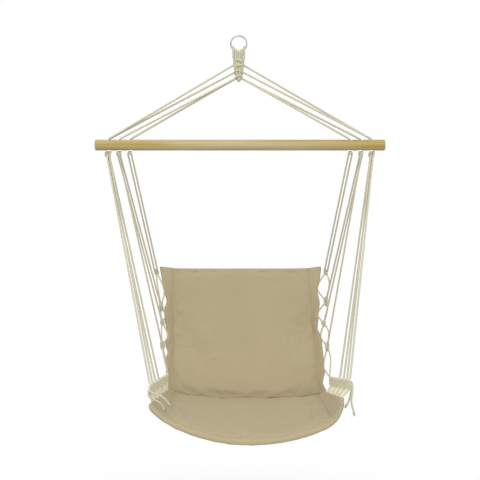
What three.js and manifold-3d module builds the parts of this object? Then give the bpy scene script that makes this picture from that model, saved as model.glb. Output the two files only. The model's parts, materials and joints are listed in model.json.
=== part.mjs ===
// Hammock chair, in millimetres, +Z up and +X to the right of someone who faces the chair.
// The origin is the inside top of the steel ring, where a hook carries it. The sitter looks along -Y.
// From the top down: a ring, a clew of plaited cord, a wooden spreader bar, eighteen cords tied to the
// sides of a padded canvas sling, and two woven arm bands.
import * as THREE from "three";
import { mergeVertices } from "three/addons/utils/BufferGeometryUtils.js";
import Module from "manifold-3d";

const wasm = await Module();
wasm.setup();

// Gaps between pieces, and how far a cutter runs past what it cuts
const touchGap = 0.3;
const boreGap = 0.5;
const cutOverrun = 5;

// Steel ring
const ringOuter = 48;
const ringWire = 4;

// Cord looped over the ring: passes over the wire, their spacing, the radius of one loop and its gap to
// the curved wire
const loopCord = 5;
const loopPasses = 6;
const loopSpacing = 5.85;
const loopRadius = 9;
const loopRideGap = 0.75;
const loopClimbPower = 1.3;

// Plaited body of the clew, and the places down it where the cords leave it
const plaitLength = 64;
const plaitTopWidth = 32;
const plaitTopDepth = 25;
const plaitFootWidth = 17;
const plaitFootDepth = 15;
const plaitExitShares = [0.33, 0.64, 0.91, 0.91];

// Cords from the clew to the bar
const clewCord = 5.6;
const clewCordOffset = 2.95;
const clewBendReach = 9;
const clewBendRise = 0.9;

// Spreader bar and its holes. Its middle lies under the origin and a little to one side.
const barLength = 800;
const barShift = 3.5;
const barDiameter = 30;
const barEdge = 3;
const barDrop = 300;
const holeDiameter = 14;
const holePitch = 30;
const endHole = 36;

// Knots under the bar
const barKnotDiameter = 19;
const barKnotHeight = 15;
const barKnotFlat = 14;

// Cords from the bar to the sling
const hangCord = 5;
const hangCordPitch = 6;
const innerCordPitch = 9;

// Side line of the sling: where its three corners lie behind the bar's axis and below it
const backTopBehind = 223;
const backTopBelow = 356;
const creaseBehind = 63;
const creaseBelow = 688;
const frontAhead = 327;
const frontBelow = 645;
const sideDrift = 22;
const driftPower = 2.25;

// Widths of the sling from its middle: the side seams, the edges, and the flare at the top corners
const seamHalfWidth = 205;
const backHalfWidth = 227;
const seatHalfWidth = 236;
const topFlare = 17;

// How the cloth hangs between its edges
const backHollow = 22;
const topCornerRise = 5;
const creaseSag = 28;
const creaseDropRight = 9;
const creaseSetBack = 8;
const frontSag = 89;
const frontLiftRight = 16;
const frontBow = 12;
const seatHollow = 10;

// How late the cloth's curves turn towards its side edges: powers of the share across the sling
const cornerPower = 8;
const creasePower = 3;
const frontCornerShare = { left: 0.2, right: 0.45 };
const frontCornerPower = { left: 12, right: 16 };
const bowPower = 6;
const crownPower = 6;
const flarePower = 4;

// Shares of a panel over which its slopes are taken
const slopeShare = 0.005;

// Pads, hems and the rope in the side hems
const padThickness = 19;
const padEdge = 7;
const hemThickness = 12;
const edgeRope = 7;
const frontRoll = 15;
const topHemHeight = 12;
const topHemThickness = 10;

// Lacing down the two sides of the back
const laceKnot = 15;
const laceCord = 5;
const laceKnotShares = { left: [0.05, 0.345, 0.475, 0.66], right: [0.05, 0.3, 0.475, 0.66] };
const laceOutShares = { left: [1.6, 1.15, 1.05, 1.3], right: [1.9, 2.5, 1.3, 2] };
const laceEndShare = 0.8;

// Woven arm bands above the seat's side edges
const armHeight = 28;
const armThickness = 9;
const armDrop = 16;
const armFootGap = 0.5;
const armBackShare = 0.05;
const armFrontShare = 0.9;
const armBackOutLeft = 0;
const armFrontOutLeft = 8;
const armBackOutRight = 12;
const armFrontOutRight = 24;
const armCordShares = [0.5, 0.68, 0.83, 0.96];
const armStrandShares = [0.1, 0.3, 0.5, 0.7, 0.9];

// Loose ends at the front of the arm bands
const tailCord = 5;
const tailKnot = 8;

// Where the pieces' datums fall
const ringRadius = (ringOuter - ringWire) / 2;
const ringCentreZ = ringWire / 2 - ringRadius;
const ringFootZ = ringCentreZ - ringRadius;
const barZ = -barDrop;
const sides = { left: -1, right: 1 };
const steel = { color: 0xb4b6b8, roughness: 0.3, metalness: 1 };
const cotton = { color: 0xcfcbaa, roughness: 0.9, metalness: 0 };
const pine = { color: 0xc2a468, roughness: 0.6, metalness: 0 };
const canvas = { color: 0xb5a684, roughness: 0.92, metalness: 0 };

const vector = (x, y, z) => new THREE.Vector3(x, y, z);
const mix = (a, b, share) => a + (b - a) * share;
const chair = new THREE.Group();

// Adds one named sub-part to the chair.
function add(name, geometry, look) {
  const mesh = new THREE.Mesh(geometry, new THREE.MeshStandardMaterial(look));
  mesh.name = name;
  chair.add(mesh);
}

// Keeps only the positions, with shared corners joined, so that the surface is closed.
function joined(geometry) {
  const bare = geometry.clone();
  bare.deleteAttribute("normal");
  bare.deleteAttribute("uv");
  return mergeVertices(bare);
}

// Turns a closed surface right side out if its volume comes out negative.
function facingOut(geometry) {
  const at = geometry.attributes.position;
  const index = geometry.index.array;
  const corner = (i) => new THREE.Vector3().fromBufferAttribute(at, index[i]);
  let volume = 0;
  for (let i = 0; i < index.length; i += 3) {
    volume += corner(i).dot(corner(i + 1).cross(corner(i + 2)));
  }
  for (let i = 0; volume < 0 && i < index.length; i += 3) {
    [index[i + 1], index[i + 2]] = [index[i + 2], index[i + 1]];
  }
  return geometry;
}

// Moves every corner of a simple geometry to where the function puts it.
function shaped(geometry, place) {
  const bare = joined(geometry);
  const at = bare.attributes.position;
  for (let i = 0; i < at.count; i += 1) {
    const moved = place(new THREE.Vector3().fromBufferAttribute(at, i));
    at.setXYZ(i, moved.x, moved.y, moved.z);
  }
  return facingOut(bare);
}

// A route through given points, whose steps are the points themselves.
class Route extends THREE.Curve {
  constructor(points) {
    super();
    this.points = points;
  }

  getSpacedPoints() {
    return this.points;
  }

  getTangentAt(share, target = new THREE.Vector3()) {
    const last = this.points.length - 1;
    const i = Math.round(share * last);
    const ahead = this.points[Math.min(i + 1, last)];
    const here = this.points[i];
    const behind = this.points[Math.max(i - 1, 0)];
    const inward = here.clone().sub(behind).normalize();
    const outward = ahead.clone().sub(here).normalize();
    return target.copy(inward.add(outward)).normalize();
  }
}

// A round tube of a given diameter through the points of a route.
function tube(points, diameter, sideCount = 10) {
  const section = new THREE.Shape();
  for (let i = 0; i < sideCount; i += 1) {
    const turn = (i / sideCount) * 2 * Math.PI;
    const x = (diameter / 2) * Math.cos(turn);
    const y = (diameter / 2) * Math.sin(turn);
    if (i === 0) section.moveTo(x, y);
    else section.lineTo(x, y);
  }
  return new THREE.ExtrudeGeometry(section, {
    steps: points.length - 1,
    extrudePath: new Route(points),
    bevelEnabled: false,
  });
}

// Points along a smooth curve through a few chosen ones.
function smooth(points, steps) {
  return new THREE.CatmullRomCurve3(points, false, "centripetal").getSpacedPoints(steps);
}

// A closed geometry as a solid that can be cut.
function solid(geometry) {
  const closed = joined(geometry);
  return new wasm.Manifold(new wasm.Mesh({
    numProp: 3,
    vertProperties: closed.attributes.position.array,
    triVerts: new Uint32Array(closed.index.array),
  }));
}

// A cut solid back as a geometry.
function fromSolid(body) {
  const mesh = body.getMesh();
  const geometry = new THREE.BufferGeometry();
  geometry.setAttribute("position", new THREE.BufferAttribute(mesh.vertProperties, mesh.numProp));
  geometry.setIndex(new THREE.BufferAttribute(mesh.triVerts, 1));
  return geometry;
}

// One solid made of several that run into each other, such as a cord and the knots tied in it.
function fused(geometries) {
  const [first, ...others] = geometries.map(solid);
  return fromSolid(others.reduce((body, other) => body.add(other), first));
}

// The least gap between stretches of a wound tube that are more than a few diameters apart along it.
function leastGap(points, diameter) {
  const run = [0];
  for (let i = 1; i < points.length; i += 1) {
    run.push(run[i - 1] + points[i].distanceTo(points[i - 1]));
  }
  let least = Infinity;
  for (let i = 0; i < points.length; i += 1) {
    for (let j = i + 1; j < points.length; j += 1) {
      if (run[j] - run[i] > 3 * diameter) {
        least = Math.min(least, points[i].distanceTo(points[j]) - diameter);
      }
    }
  }
  return least;
}

// Steel ring: it stands in the plane of the bar.
add("hanging_ring", new THREE.TorusGeometry(ringRadius, ringWire / 2, 10, 40)
  .rotateX(Math.PI / 2)
  .translate(0, 0, ringCentreZ), steel);

// Cord looped over the ring's foot. Each pass hangs in an upright plane and rides on the wire, higher
// towards the sides as the wire climbs. The slack under the wire lets the clew swing.
const loopSteps = 24;
const loopReach = ((loopPasses - 1) * loopSpacing) / 2;
const loopRun = loopReach + loopSpacing / 4;
const loopRide = ringWire / 2 + loopCord / 2 + loopRideGap;
const loopFootZ = ringFootZ + loopRide - 2 * loopRadius - loopCord / 2;
const plaitTopZ = loopFootZ - touchGap;

function loopPoint(turns) {
  const share = turns / (loopPasses - 0.5);
  const x = mix(-loopRun, loopRun, share);
  const climb = Math.sqrt(ringRadius ** 2 - x ** 2);
  const wireZ = ringCentreZ - climb;
  const top = wireZ + loopRide * (ringRadius / climb) ** loopClimbPower;
  const turn = turns * 2 * Math.PI;
  return vector(x, loopRadius * Math.cos(turn), top - loopRadius + loopRadius * Math.sin(turn));
}

const loopPoints = [];
for (let i = 0; i <= (loopPasses - 0.5) * loopSteps; i += 1) {
  loopPoints.push(loopPoint(i / loopSteps));
}
const loopEndZ = plaitTopZ + touchGap;
const firstLoop = loopPoints[0];
const lastLoop = loopPoints[loopPoints.length - 1];
const endMiddleZ = (firstLoop.z + loopEndZ) / 2;
loopPoints.unshift(vector(firstLoop.x, firstLoop.y, loopEndZ), vector(firstLoop.x, firstLoop.y, endMiddleZ));
loopPoints.push(vector(lastLoop.x, lastLoop.y, endMiddleZ), vector(lastLoop.x, lastLoop.y, loopEndZ));
console.log("least gap of the ring loops to themselves, mm:", leastGap(loopPoints, loopCord).toFixed(2));
add("clew_ring_loops", tube(loopPoints, loopCord, 6), cotton);

// Plaited body of the clew: flat oval sections that narrow downwards.
const plaitHalf = (share) => mix(plaitTopWidth, plaitFootWidth, share) / 2;
const plaitDepthHalf = (share) => mix(plaitTopDepth, plaitFootDepth, share) / 2;
add("clew_plait", shaped(new THREE.CylinderGeometry(1, 1, 1, 20, 6), (p) => {
  const share = 0.5 - p.y;
  return vector(p.x * plaitHalf(share), -p.z * plaitDepthHalf(share), plaitTopZ - share * plaitLength);
}), cotton);

// Holes in the bar, from the innermost out, and how many sling cords hang from each
const holes = [
  { name: "inner", x: barLength / 2 - endHole - 2 * holePitch, cords: 2 },
  { name: "middle", x: barLength / 2 - endHole - holePitch, cords: 3 },
  { name: "outer", x: barLength / 2 - endHole, cords: 4 },
];

// Cords from the clew to the bar: two to the outer hole and one each to the others. Each runs straight,
// bends over the hole's edge and ends in the bar, just above the knot under it.
const clewHoles = [holes[2], holes[2], holes[1], holes[0]];
const barTopZ = barZ + barDiameter / 2;
const barFootZ = barZ - barDiameter / 2;
const holeReach = barFootZ + clewCord / 2;
const taperSlope = (plaitTopWidth - plaitFootWidth) / 2 / plaitLength;

function clewRoute(side, number) {
  const share = plaitExitShares[number];
  const hole = clewHoles[number];
  const y = side * (number % 2 === 0 ? clewCordOffset : -clewCordOffset);
  const bendTop = vector(side * hole.x + barShift, y, barTopZ + clewBendRise);
  const exitHalf = plaitHalf(share) * Math.sqrt(1 - (y / plaitDepthHalf(share)) ** 2);
  const exit = vector(side * exitHalf, y, plaitTopZ - share * plaitLength);
  const way = bendTop.clone().sub(exit).normalize();
  const cutBack = touchGap + (clewCord / 2) * (Math.abs(way.z) + taperSlope);
  const start = exit.addScaledVector(way, cutBack / Math.abs(way.x));
  const points = [start, bendTop.clone().addScaledVector(way, -clewBendReach)];
  const inBar = vector(bendTop.x, y, barTopZ - clewBendReach / 3);
  const bend = new THREE.QuadraticBezierCurve3(points[1], bendTop, inBar);
  points.push(...bend.getPoints(5).slice(1), vector(bendTop.x, y, holeReach));
  return points;
}

for (const [sideName, side] of Object.entries(sides)) {
  for (let number = 0; number < clewHoles.length; number += 1) {
    add(`clew_cord_${sideName}_${number + 1}`, tube(clewRoute(side, number), clewCord), cotton);
  }
}

// Spreader bar: a dowel with eased ends, drilled through at each hole.
const barOutline = [
  new THREE.Vector2(0, -barLength / 2),
  new THREE.Vector2(barDiameter / 2 - barEdge, -barLength / 2),
  new THREE.Vector2(barDiameter / 2, -barLength / 2 + barEdge),
  new THREE.Vector2(barDiameter / 2, barLength / 2 - barEdge),
  new THREE.Vector2(barDiameter / 2 - barEdge, barLength / 2),
  new THREE.Vector2(0, barLength / 2),
];
let barSolid = solid(new THREE.LatheGeometry(barOutline, 32).rotateZ(Math.PI / 2).translate(barShift, 0, barZ));
for (const side of Object.values(sides)) {
  for (const hole of holes) {
    const drill = new THREE.CylinderGeometry(holeDiameter / 2, holeDiameter / 2, barDiameter + cutOverrun, 14)
      .rotateX(Math.PI / 2)
      .translate(side * hole.x + barShift, 0, barZ);
    barSolid = barSolid.subtract(solid(drill));
  }
}
add("spreader_bar", fromSolid(barSolid), pine);

// Knots under the bar: round lumps with flats where they bear on the bar and where their cords leave.
const barKnotTopZ = barFootZ - touchGap;
const barKnotFootZ = barKnotTopZ - barKnotHeight;
const knotOutline = [
  new THREE.Vector2(0, -barKnotHeight / 2),
  new THREE.Vector2(barKnotFlat / 2, -barKnotHeight / 2),
];
for (let i = 1; i < 6; i += 1) {
  const turn = (i / 6) * Math.PI;
  const swell = (barKnotDiameter - barKnotFlat) / 2;
  knotOutline.push(new THREE.Vector2(
    barKnotFlat / 2 + swell * Math.sin(turn),
    (-barKnotHeight / 2) * Math.cos(turn),
  ));
}
knotOutline.push(
  new THREE.Vector2(barKnotFlat / 2, barKnotHeight / 2),
  new THREE.Vector2(0, barKnotHeight / 2),
);
for (const [sideName, side] of Object.entries(sides)) {
  for (const hole of holes) {
    add(`bar_knot_${sideName}_${hole.name}`, new THREE.LatheGeometry(knotOutline, 16)
      .rotateX(Math.PI / 2)
      .translate(side * hole.x + barShift, 0, (barKnotTopZ + barKnotFootZ) / 2), cotton);
  }
}

// The sling hangs a little to one side, more so further down.
const driftAt = (z) => sideDrift * ((barZ - z) / creaseBelow) ** driftPower;

// Lines across the sling, from edge to edge as u goes from -1 to 1, in the plane of the chair's side:
// the top of the back, the crease between back and seat, and the front of the seat.
const topLine = (u) => vector(0, backTopBehind, barZ - backTopBelow + topCornerRise * u ** cornerPower);

function creaseLine(u) {
  const fall = 1 - Math.abs(u) ** creasePower;
  const drop = creaseSag * fall + (u > 0 ? creaseDropRight * (1 - fall) : 0);
  return vector(0, creaseBehind + creaseSetBack * fall, barZ - creaseBelow - drop);
}

function frontLine(u) {
  const sideName = u < 0 ? "left" : "right";
  const cornerShare = frontCornerShare[sideName];
  const fall = 1 - (1 - cornerShare) * u ** 2 - cornerShare * Math.abs(u) ** frontCornerPower[sideName];
  const drop = frontSag * fall - (u > 0 ? frontLiftRight * (1 - fall) : 0);
  return vector(0, -frontAhead - frontBow * fall, barZ - frontBelow - drop);
}

// A point of the back, share 0 at its top and 1 at the crease, or of the seat, 0 at the crease and 1 at
// its front. Both bow away from the sitter between their ends.
const panels = {
  back: {
    from: topLine,
    to: creaseLine,
    hollow: backHollow,
    half: (share) => backHalfWidth + topFlare * (1 - share) ** flarePower,
  },
  seat: {
    from: creaseLine,
    to: frontLine,
    hollow: seatHollow,
    half: (share) => mix(backHalfWidth, seatHalfWidth, share),
  },
};

function clothPoint(panel, share, u) {
  const start = panel.from(u);
  const end = panel.to(u);
  const way = end.clone().sub(start).normalize();
  const behind = vector(0, -way.z, way.y);
  const bow = panel.hollow * Math.sin(Math.PI * share) * (1 - u ** bowPower);
  const point = start.lerp(end, share).addScaledVector(behind, bow);
  point.x = u * panel.half(share) + driftAt(point.z);
  return point;
}

// The cloth's slope along its panel, from the top or the crease onwards.
function slopeAlong(panel, share, u) {
  const before = clothPoint(panel, Math.max(share - slopeShare, 0), u);
  const after = clothPoint(panel, Math.min(share + slopeShare, 1), u);
  return after.sub(before);
}

// The cloth's direction to the sitter's side at a point, from the slopes along it and across it.
function clothNormal(panel, share, u) {
  const left = clothPoint(panel, share, Math.max(u - slopeShare, -1));
  const right = clothPoint(panel, share, Math.min(u + slopeShare, 1));
  return slopeAlong(panel, share, u).cross(right.sub(left)).normalize();
}

const seamShare = (panel, share) => seamHalfWidth / panel.half(share);
const panelLength = (panel) => panel.from(1).distanceTo(panel.to(1));

// A pad: crowned in the middle and drawn in to its seams, from one share of its panel to another.
function pad(panel, first, last) {
  return shaped(new THREE.BoxGeometry(2, 1, 1, 18, 14, 2), (p) => {
    const along = 0.5 - p.y;
    const share = mix(first, last, along);
    const u = p.x * (seamShare(panel, share) - touchGap / panel.half(share));
    const crown = (1 - p.x ** crownPower) * (1 - (2 * along - 1) ** crownPower);
    const thickness = mix(padEdge, padThickness, crown);
    return clothPoint(panel, share, u).addScaledVector(clothNormal(panel, share, u), p.z * thickness);
  });
}

// The pads stop short of the hems, and of each other at the crease by what their edges need in the fold.
const foldAngle = topLine(1).sub(creaseLine(1)).angleTo(frontLine(1).sub(creaseLine(1)));
const creaseSet = (touchGap + (padEdge / 2) * Math.cos(foldAngle / 2)) / Math.sin(foldAngle / 2);
const backLength = panelLength(panels.back);
const seatLength = panelLength(panels.seat);
const backPadTop = (topHemHeight + touchGap) / backLength;
const seatPadEnd = 1 - (frontRoll + touchGap) / seatLength;
add("back_pad", pad(panels.back, backPadTop, 1 - creaseSet / backLength), canvas);
add("seat_pad", pad(panels.seat, creaseSet / seatLength, seatPadEnd), canvas);

// The rounded outer edge of a side hem: the centre of its round, which the rope in the hem follows, and
// the directions across the hem and square to it.
function hemFrame(panel, share, side) {
  const seam = clothPoint(panel, share, side * seamShare(panel, share));
  const edge = clothPoint(panel, share, side);
  const across = edge.clone().sub(seam);
  const width = across.length();
  across.normalize();
  const upright = slopeAlong(panel, share, side).cross(across).normalize().multiplyScalar(side);
  const round = edge.clone().addScaledVector(across, -hemThickness / 2);
  return { seam, edge, across, upright, round, width };
}

// A side hem: a flat sleeve with round edges and a bore for the rope along its outer edge. It starts as
// a tube with one wall at each of two radii, which only tell the outer wall from the bore.
const ropeBore = edgeRope / 2 + boreGap;
const hemSteps = 9;
const hemSides = 12;
const boreWall = 1;
const outerWall = 2;

function sideHem(panel, first, last, side) {
  const outline = [];
  for (let i = 0; i <= hemSteps; i += 1) outline.push(new THREE.Vector2(outerWall, i / hemSteps));
  for (let i = hemSteps; i >= 0; i -= 1) outline.push(new THREE.Vector2(boreWall, i / hemSteps));
  outline.push(outline[0].clone());
  return shaped(new THREE.LatheGeometry(outline, hemSides), (p) => {
    const hem = hemFrame(panel, mix(first, last, p.y), side);
    const turn = Math.atan2(p.z, p.x);
    const outer = Math.hypot(p.x, p.z) > (boreWall + outerWall) / 2;
    const radius = outer ? hemThickness / 2 : ropeBore;
    const inward = outer && Math.abs(turn) > Math.PI / 2 + Math.PI / hemSides;
    const flat = inward ? hem.width - hemThickness - touchGap : 0;
    return hem.round.clone()
      .addScaledVector(hem.across, radius * Math.cos(turn) - flat)
      .addScaledVector(hem.upright, radius * Math.sin(turn));
  });
}

// Side hems stop short of the crease, where the rope alone turns the corner.
const hemStop = hemThickness;
for (const [sideName, side] of Object.entries(sides)) {
  add(`back_hem_${sideName}`, sideHem(panels.back, 0, 1 - hemStop / backLength, side), canvas);
  add(`seat_hem_${sideName}`, sideHem(panels.seat, hemStop / seatLength, 1, side), canvas);
}

// Rope in the side hems, in one length from the top of the back to the front of the seat.
for (const [sideName, side] of Object.entries(sides)) {
  const points = [];
  for (let i = 0; i <= hemSteps; i += 1) {
    points.push(hemFrame(panels.back, (i / hemSteps) * (1 - hemStop / backLength), side).round);
  }
  const corner = hemFrame(panels.back, 1, side).round.lerp(hemFrame(panels.seat, 0, side).round, 0.5);
  const seatStart = hemFrame(panels.seat, hemStop / seatLength, side).round;
  const turnCurve = new THREE.QuadraticBezierCurve3(points[hemSteps], corner, seatStart);
  points.push(...turnCurve.getPoints(6).slice(1, 6));
  for (let i = 0; i <= hemSteps; i += 1) {
    points.push(hemFrame(panels.seat, mix(hemStop / seatLength, 1, i / hemSteps), side).round);
  }
  add(`edge_rope_${sideName}`, tube(points, edgeRope, 8), cotton);
}

// A hem across the sling from seam to seam: an oval roll along one end of a panel.
function crossHem(panel, share, height, thickness) {
  return shaped(new THREE.CylinderGeometry(1, 1, 2, 10, 18), (p) => {
    const u = p.y * (seamShare(panel, share) - touchGap / panel.half(share));
    const inset = height / 2 / panelLength(panel);
    const centre = clothPoint(panel, Math.abs(share - inset), u);
    const way = clothPoint(panel, 1, u).sub(clothPoint(panel, 0, u)).normalize();
    const out = clothNormal(panel, share, u);
    return centre.addScaledVector(way, (p.x * height) / 2).addScaledVector(out, (p.z * thickness) / 2);
  });
}

add("back_top_hem", crossHem(panels.back, 0, topHemHeight, topHemThickness), canvas);
add("seat_front_roll", crossHem(panels.seat, 1, frontRoll, frontRoll), canvas);

// The side lacing is one cord with knots tied in it. The knots stand off the back's edges, and between
// two knots the cord comes in to the hem.
function laceKnotAt(number, side) {
  const sideName = side < 0 ? "left" : "right";
  const outShare = laceOutShares[sideName][number];
  const hem = hemFrame(panels.back, laceKnotShares[sideName][number], side);
  return hem.edge.clone().addScaledVector(hem.across, (outShare * laceKnot) / 2 + touchGap);
}

// The middle of an arm band at a share of its length, and the centre of the hem's round under it.
function armFrame(share, side) {
  const { round } = hemFrame(panels.seat, mix(armBackShare, armFrontShare, share), side);
  const out = side < 0 ? mix(armBackOutLeft, armFrontOutLeft, share) : mix(armBackOutRight, armFrontOutRight, share);
  const middle = round.clone().add(vector(side * out, 0, hemThickness / 2 + armDrop + armHeight / 2));
  return { middle, round };
}

function sideLace(side) {
  const shares = laceKnotShares[side < 0 ? "left" : "right"];
  const knots = shares.map((_, number) => laceKnotAt(number, side));
  const bandEnd = armFrame(0, side).middle;
  const laceEnd = vector(bandEnd.x, bandEnd.y + laceCord, bandEnd.z + armHeight / 2 - laceCord);
  const pieces = knots.map((at) => new THREE.SphereGeometry(laceKnot / 2, 10, 7).translate(at.x, at.y, at.z));
  knots.forEach((knot, number) => {
    const last = number === knots.length - 1;
    const share = last ? laceEndShare : (shares[number] + shares[number + 1]) / 2;
    const hem = hemFrame(panels.back, share, side);
    const touch = hem.edge.clone().addScaledVector(hem.across, laceCord / 2 + touchGap);
    pieces.push(tube(smooth([knot, touch, last ? laceEnd : knots[number + 1]], 7), laceCord, 8));
  });
  return fused(pieces);
}

for (const [sideName, side] of Object.entries(sides)) {
  add(`side_lace_${sideName}`, sideLace(side), cotton);
}

// Arm bands: flat upright strips over the seat's side edges, with strands down to the hem.
const armSteps = 12;
for (const [sideName, side] of Object.entries(sides)) {
  const band = shaped(new THREE.BoxGeometry(1, 1, 1, armSteps, 1, 2), (p) => (
    armFrame(p.x + 0.5, side).middle.add(vector(p.y * armThickness, 0, p.z * armHeight))
  ));
  const strands = armStrandShares.map((share) => {
    const { middle, round } = armFrame(share, side);
    const way = middle.clone().sub(round).normalize();
    return tube([middle, round.addScaledVector(way, hemThickness / 2 + armFootGap)], laceCord, 8);
  });
  add(`arm_band_${sideName}`, fused([band, ...strands]), cotton);
}

// Hanging cords. The two of the inner hole go to the top lacing knot, the three of the middle hole to
// the next ones, and the four of the outer hole to the arm band.
const corners = [[-1, 1], [1, 1], [-1, -1], [1, -1]];

function hangingCord(start, goal, cutBack) {
  const way = goal.clone().sub(start).normalize();
  const level = start.z - touchGap - (hangCord / 2) * Math.hypot(way.x, way.y);
  const first = start.clone().addScaledVector(way, (level - start.z) / way.z);
  return tube([first, goal.clone().addScaledVector(way, -cutBack(way))], hangCord);
}

for (const [sideName, side] of Object.entries(sides)) {
  for (const hole of holes) {
    for (let number = 0; number < hole.cords; number += 1) {
      const [out, behind] = corners[number];
      const spread = hole.cords === 3 && number === 2 ? 0 : out;
      const pitch = hole.name === "inner" ? innerCordPitch : hangCordPitch;
      const start = vector(
        side * (hole.x + (spread * pitch) / 2) + barShift,
        (behind * hangCordPitch) / 2,
        barKnotFootZ,
      );
      let goal;
      let cutBack;
      if (hole.name === "outer") {
        goal = armFrame(armCordShares[number], side).middle.add(vector(0, 0, armHeight / 2));
        cutBack = (way) => (touchGap + (hangCord / 2) * Math.hypot(way.x, way.y)) / Math.abs(way.z);
      } else {
        goal = laceKnotAt(hole.name === "inner" ? 0 : number + 1, side);
        if (hole.name === "inner") goal.x += side * out * (pitch / 2);
        cutBack = () => laceKnot / 2 + touchGap;
      }
      add(`hang_cord_${sideName}_${hole.name}_${number + 1}`, hangingCord(start, goal, cutBack), cotton);
    }
  }
}

// Loose ends of the arm bands' cords: each leaves the band's front, drops and ends in a small knot. On
// the right they hang outside the seat, on the left over it. Points go outwards, back and up.
const tailRoutes = {
  left: [
    [[0, -0.9, -9], [0, -5, -9.5], [-3, -12, -15], [-16, -15, -22], [-30, -14, -30], [-38, -12, -44]],
    [[0, -0.9, -2], [0, -5, -2], [-6, -9, -4], [-24, -10, -10], [-40, -10, -20], [-51, -10, -34]],
  ],
  right: [
    [[0, -0.9, 8], [0, -5, 8], [1.5, -18, 4], [0, -24, -12], [-2, -24, -36], [4.5, -22, -64]],
    [[0, -0.9, -4], [0, -5, -4], [-1, -12, -8], [-4, -14, -24], [-8, -14, -38], [-12.5, -14, -47]],
  ],
};
for (const [sideName, side] of Object.entries(sides)) {
  const band = armFrame(1, side).middle;
  tailRoutes[sideName].forEach((route, number) => {
    const points = route.map(([x, y, z]) => vector(band.x + side * x, band.y + y, band.z + z));
    const end = points[points.length - 1];
    const knot = new THREE.SphereGeometry(tailKnot / 2, 10, 6).translate(end.x, end.y, end.z);
    add(`arm_tail_${sideName}_${number + 1}`, fused([tube(smooth(points, 10), tailCord, 8), knot]), cotton);
  });
}

export default chair;
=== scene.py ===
"""Hammock chair: a padded canvas sling on cotton cords, under a pine spreader bar, a clew and a steel ring.

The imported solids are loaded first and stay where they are. What is built here rides on their bodies:
the ring, the upper part down to the bar, and the sling under the bar. All sizes are in metres.
"""

import json
import logging
import math
from dataclasses import dataclass, field
from enum import Enum
from typing import Callable, Optional, Sequence, TypeVar, Union

import bpy
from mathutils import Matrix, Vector, noise
from mathutils.bvhtree import BVHTree

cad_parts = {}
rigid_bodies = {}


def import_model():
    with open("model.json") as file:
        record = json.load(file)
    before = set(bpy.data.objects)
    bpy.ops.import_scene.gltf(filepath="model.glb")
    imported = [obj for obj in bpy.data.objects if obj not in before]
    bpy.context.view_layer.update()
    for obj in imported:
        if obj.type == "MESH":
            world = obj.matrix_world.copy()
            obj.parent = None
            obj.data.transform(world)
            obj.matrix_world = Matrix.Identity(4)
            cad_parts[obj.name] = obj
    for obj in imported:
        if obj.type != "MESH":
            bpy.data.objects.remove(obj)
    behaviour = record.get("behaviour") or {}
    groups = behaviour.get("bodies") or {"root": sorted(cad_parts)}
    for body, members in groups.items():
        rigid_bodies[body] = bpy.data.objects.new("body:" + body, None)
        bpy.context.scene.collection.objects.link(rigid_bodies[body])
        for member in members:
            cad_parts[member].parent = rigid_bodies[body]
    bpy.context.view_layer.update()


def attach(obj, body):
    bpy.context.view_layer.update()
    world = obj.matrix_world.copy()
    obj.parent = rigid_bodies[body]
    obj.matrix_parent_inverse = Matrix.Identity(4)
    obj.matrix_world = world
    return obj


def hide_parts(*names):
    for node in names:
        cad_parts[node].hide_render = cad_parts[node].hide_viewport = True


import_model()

logging.basicConfig(level=logging.INFO, format="%(message)s")
log = logging.getLogger("hammock_chair")

UP = Vector((0.0, 0.0, 1.0))
TURN = 2.0 * math.pi
T = TypeVar("T")
Triple = tuple[float, float, float]


class Side(Enum):
    """The chair's two sides, as someone who faces it sees them."""

    LEFT = -1
    RIGHT = 1

    @property
    def word(self) -> str:
        """The side's name in the names of pieces."""
        return self.name.lower()

    def of(self, pair: tuple[T, T]) -> T:
        """This side's value of a pair, in which the left one comes first."""
        return pair[self is Side.RIGHT]


class Body(Enum):
    """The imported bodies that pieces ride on."""

    RING = "ring"
    UPPER = "upper"
    SLING = "sling"


class Slot(Enum):
    """The record's material slots."""

    STEEL = "ring_steel"
    PINE = "bar_pine"
    COTTON = "cotton_cord"
    CANVAS = "sling_canvas"


# ---- Small geometry helpers ----


def mix(a: float, b: float, share: float) -> float:
    """The value at a share of the way from a to b."""
    return a + (b - a) * share


def eased(value: float, low: float, high: float) -> float:
    """A smooth step from 0 at low to 1 at high."""
    share = min(max((value - low) / (high - low), 0.0), 1.0)
    return share * share * (3.0 - 2.0 * share)


def shares(count: int) -> list[float]:
    """Shares from 0 to 1 in even steps, both ends included."""
    return [step / count for step in range(count + 1)]


def angles(count: int) -> list[float]:
    """Angles in even steps once round."""
    return [step / count * TURN for step in range(count)]


def square_ways(way: Vector) -> tuple[Vector, Vector]:
    """Two ways that are square to a way and to each other."""
    across = way.orthogonal().normalized()
    return across, way.cross(across)


def toward(across: Vector, beside: Vector, angle: float) -> Vector:
    """The way at an angle from one way towards another."""
    return across * math.cos(angle) + beside * math.sin(angle)


def between_stops(stops: Sequence[tuple[float, float]], at: float) -> float:
    """A value eased between stops.

    Args:
        stops: pairs of a place and a value, in rising order of place.
        at: the place that is asked for.

    Returns:
        The value there.
    """
    if at <= stops[0][0]:
        return stops[0][1]
    for (low, first), (high, second) in zip(stops, stops[1:]):
        if at <= high:
            return mix(first, second, eased(at, low, high))
    return stops[-1][1]


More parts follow.
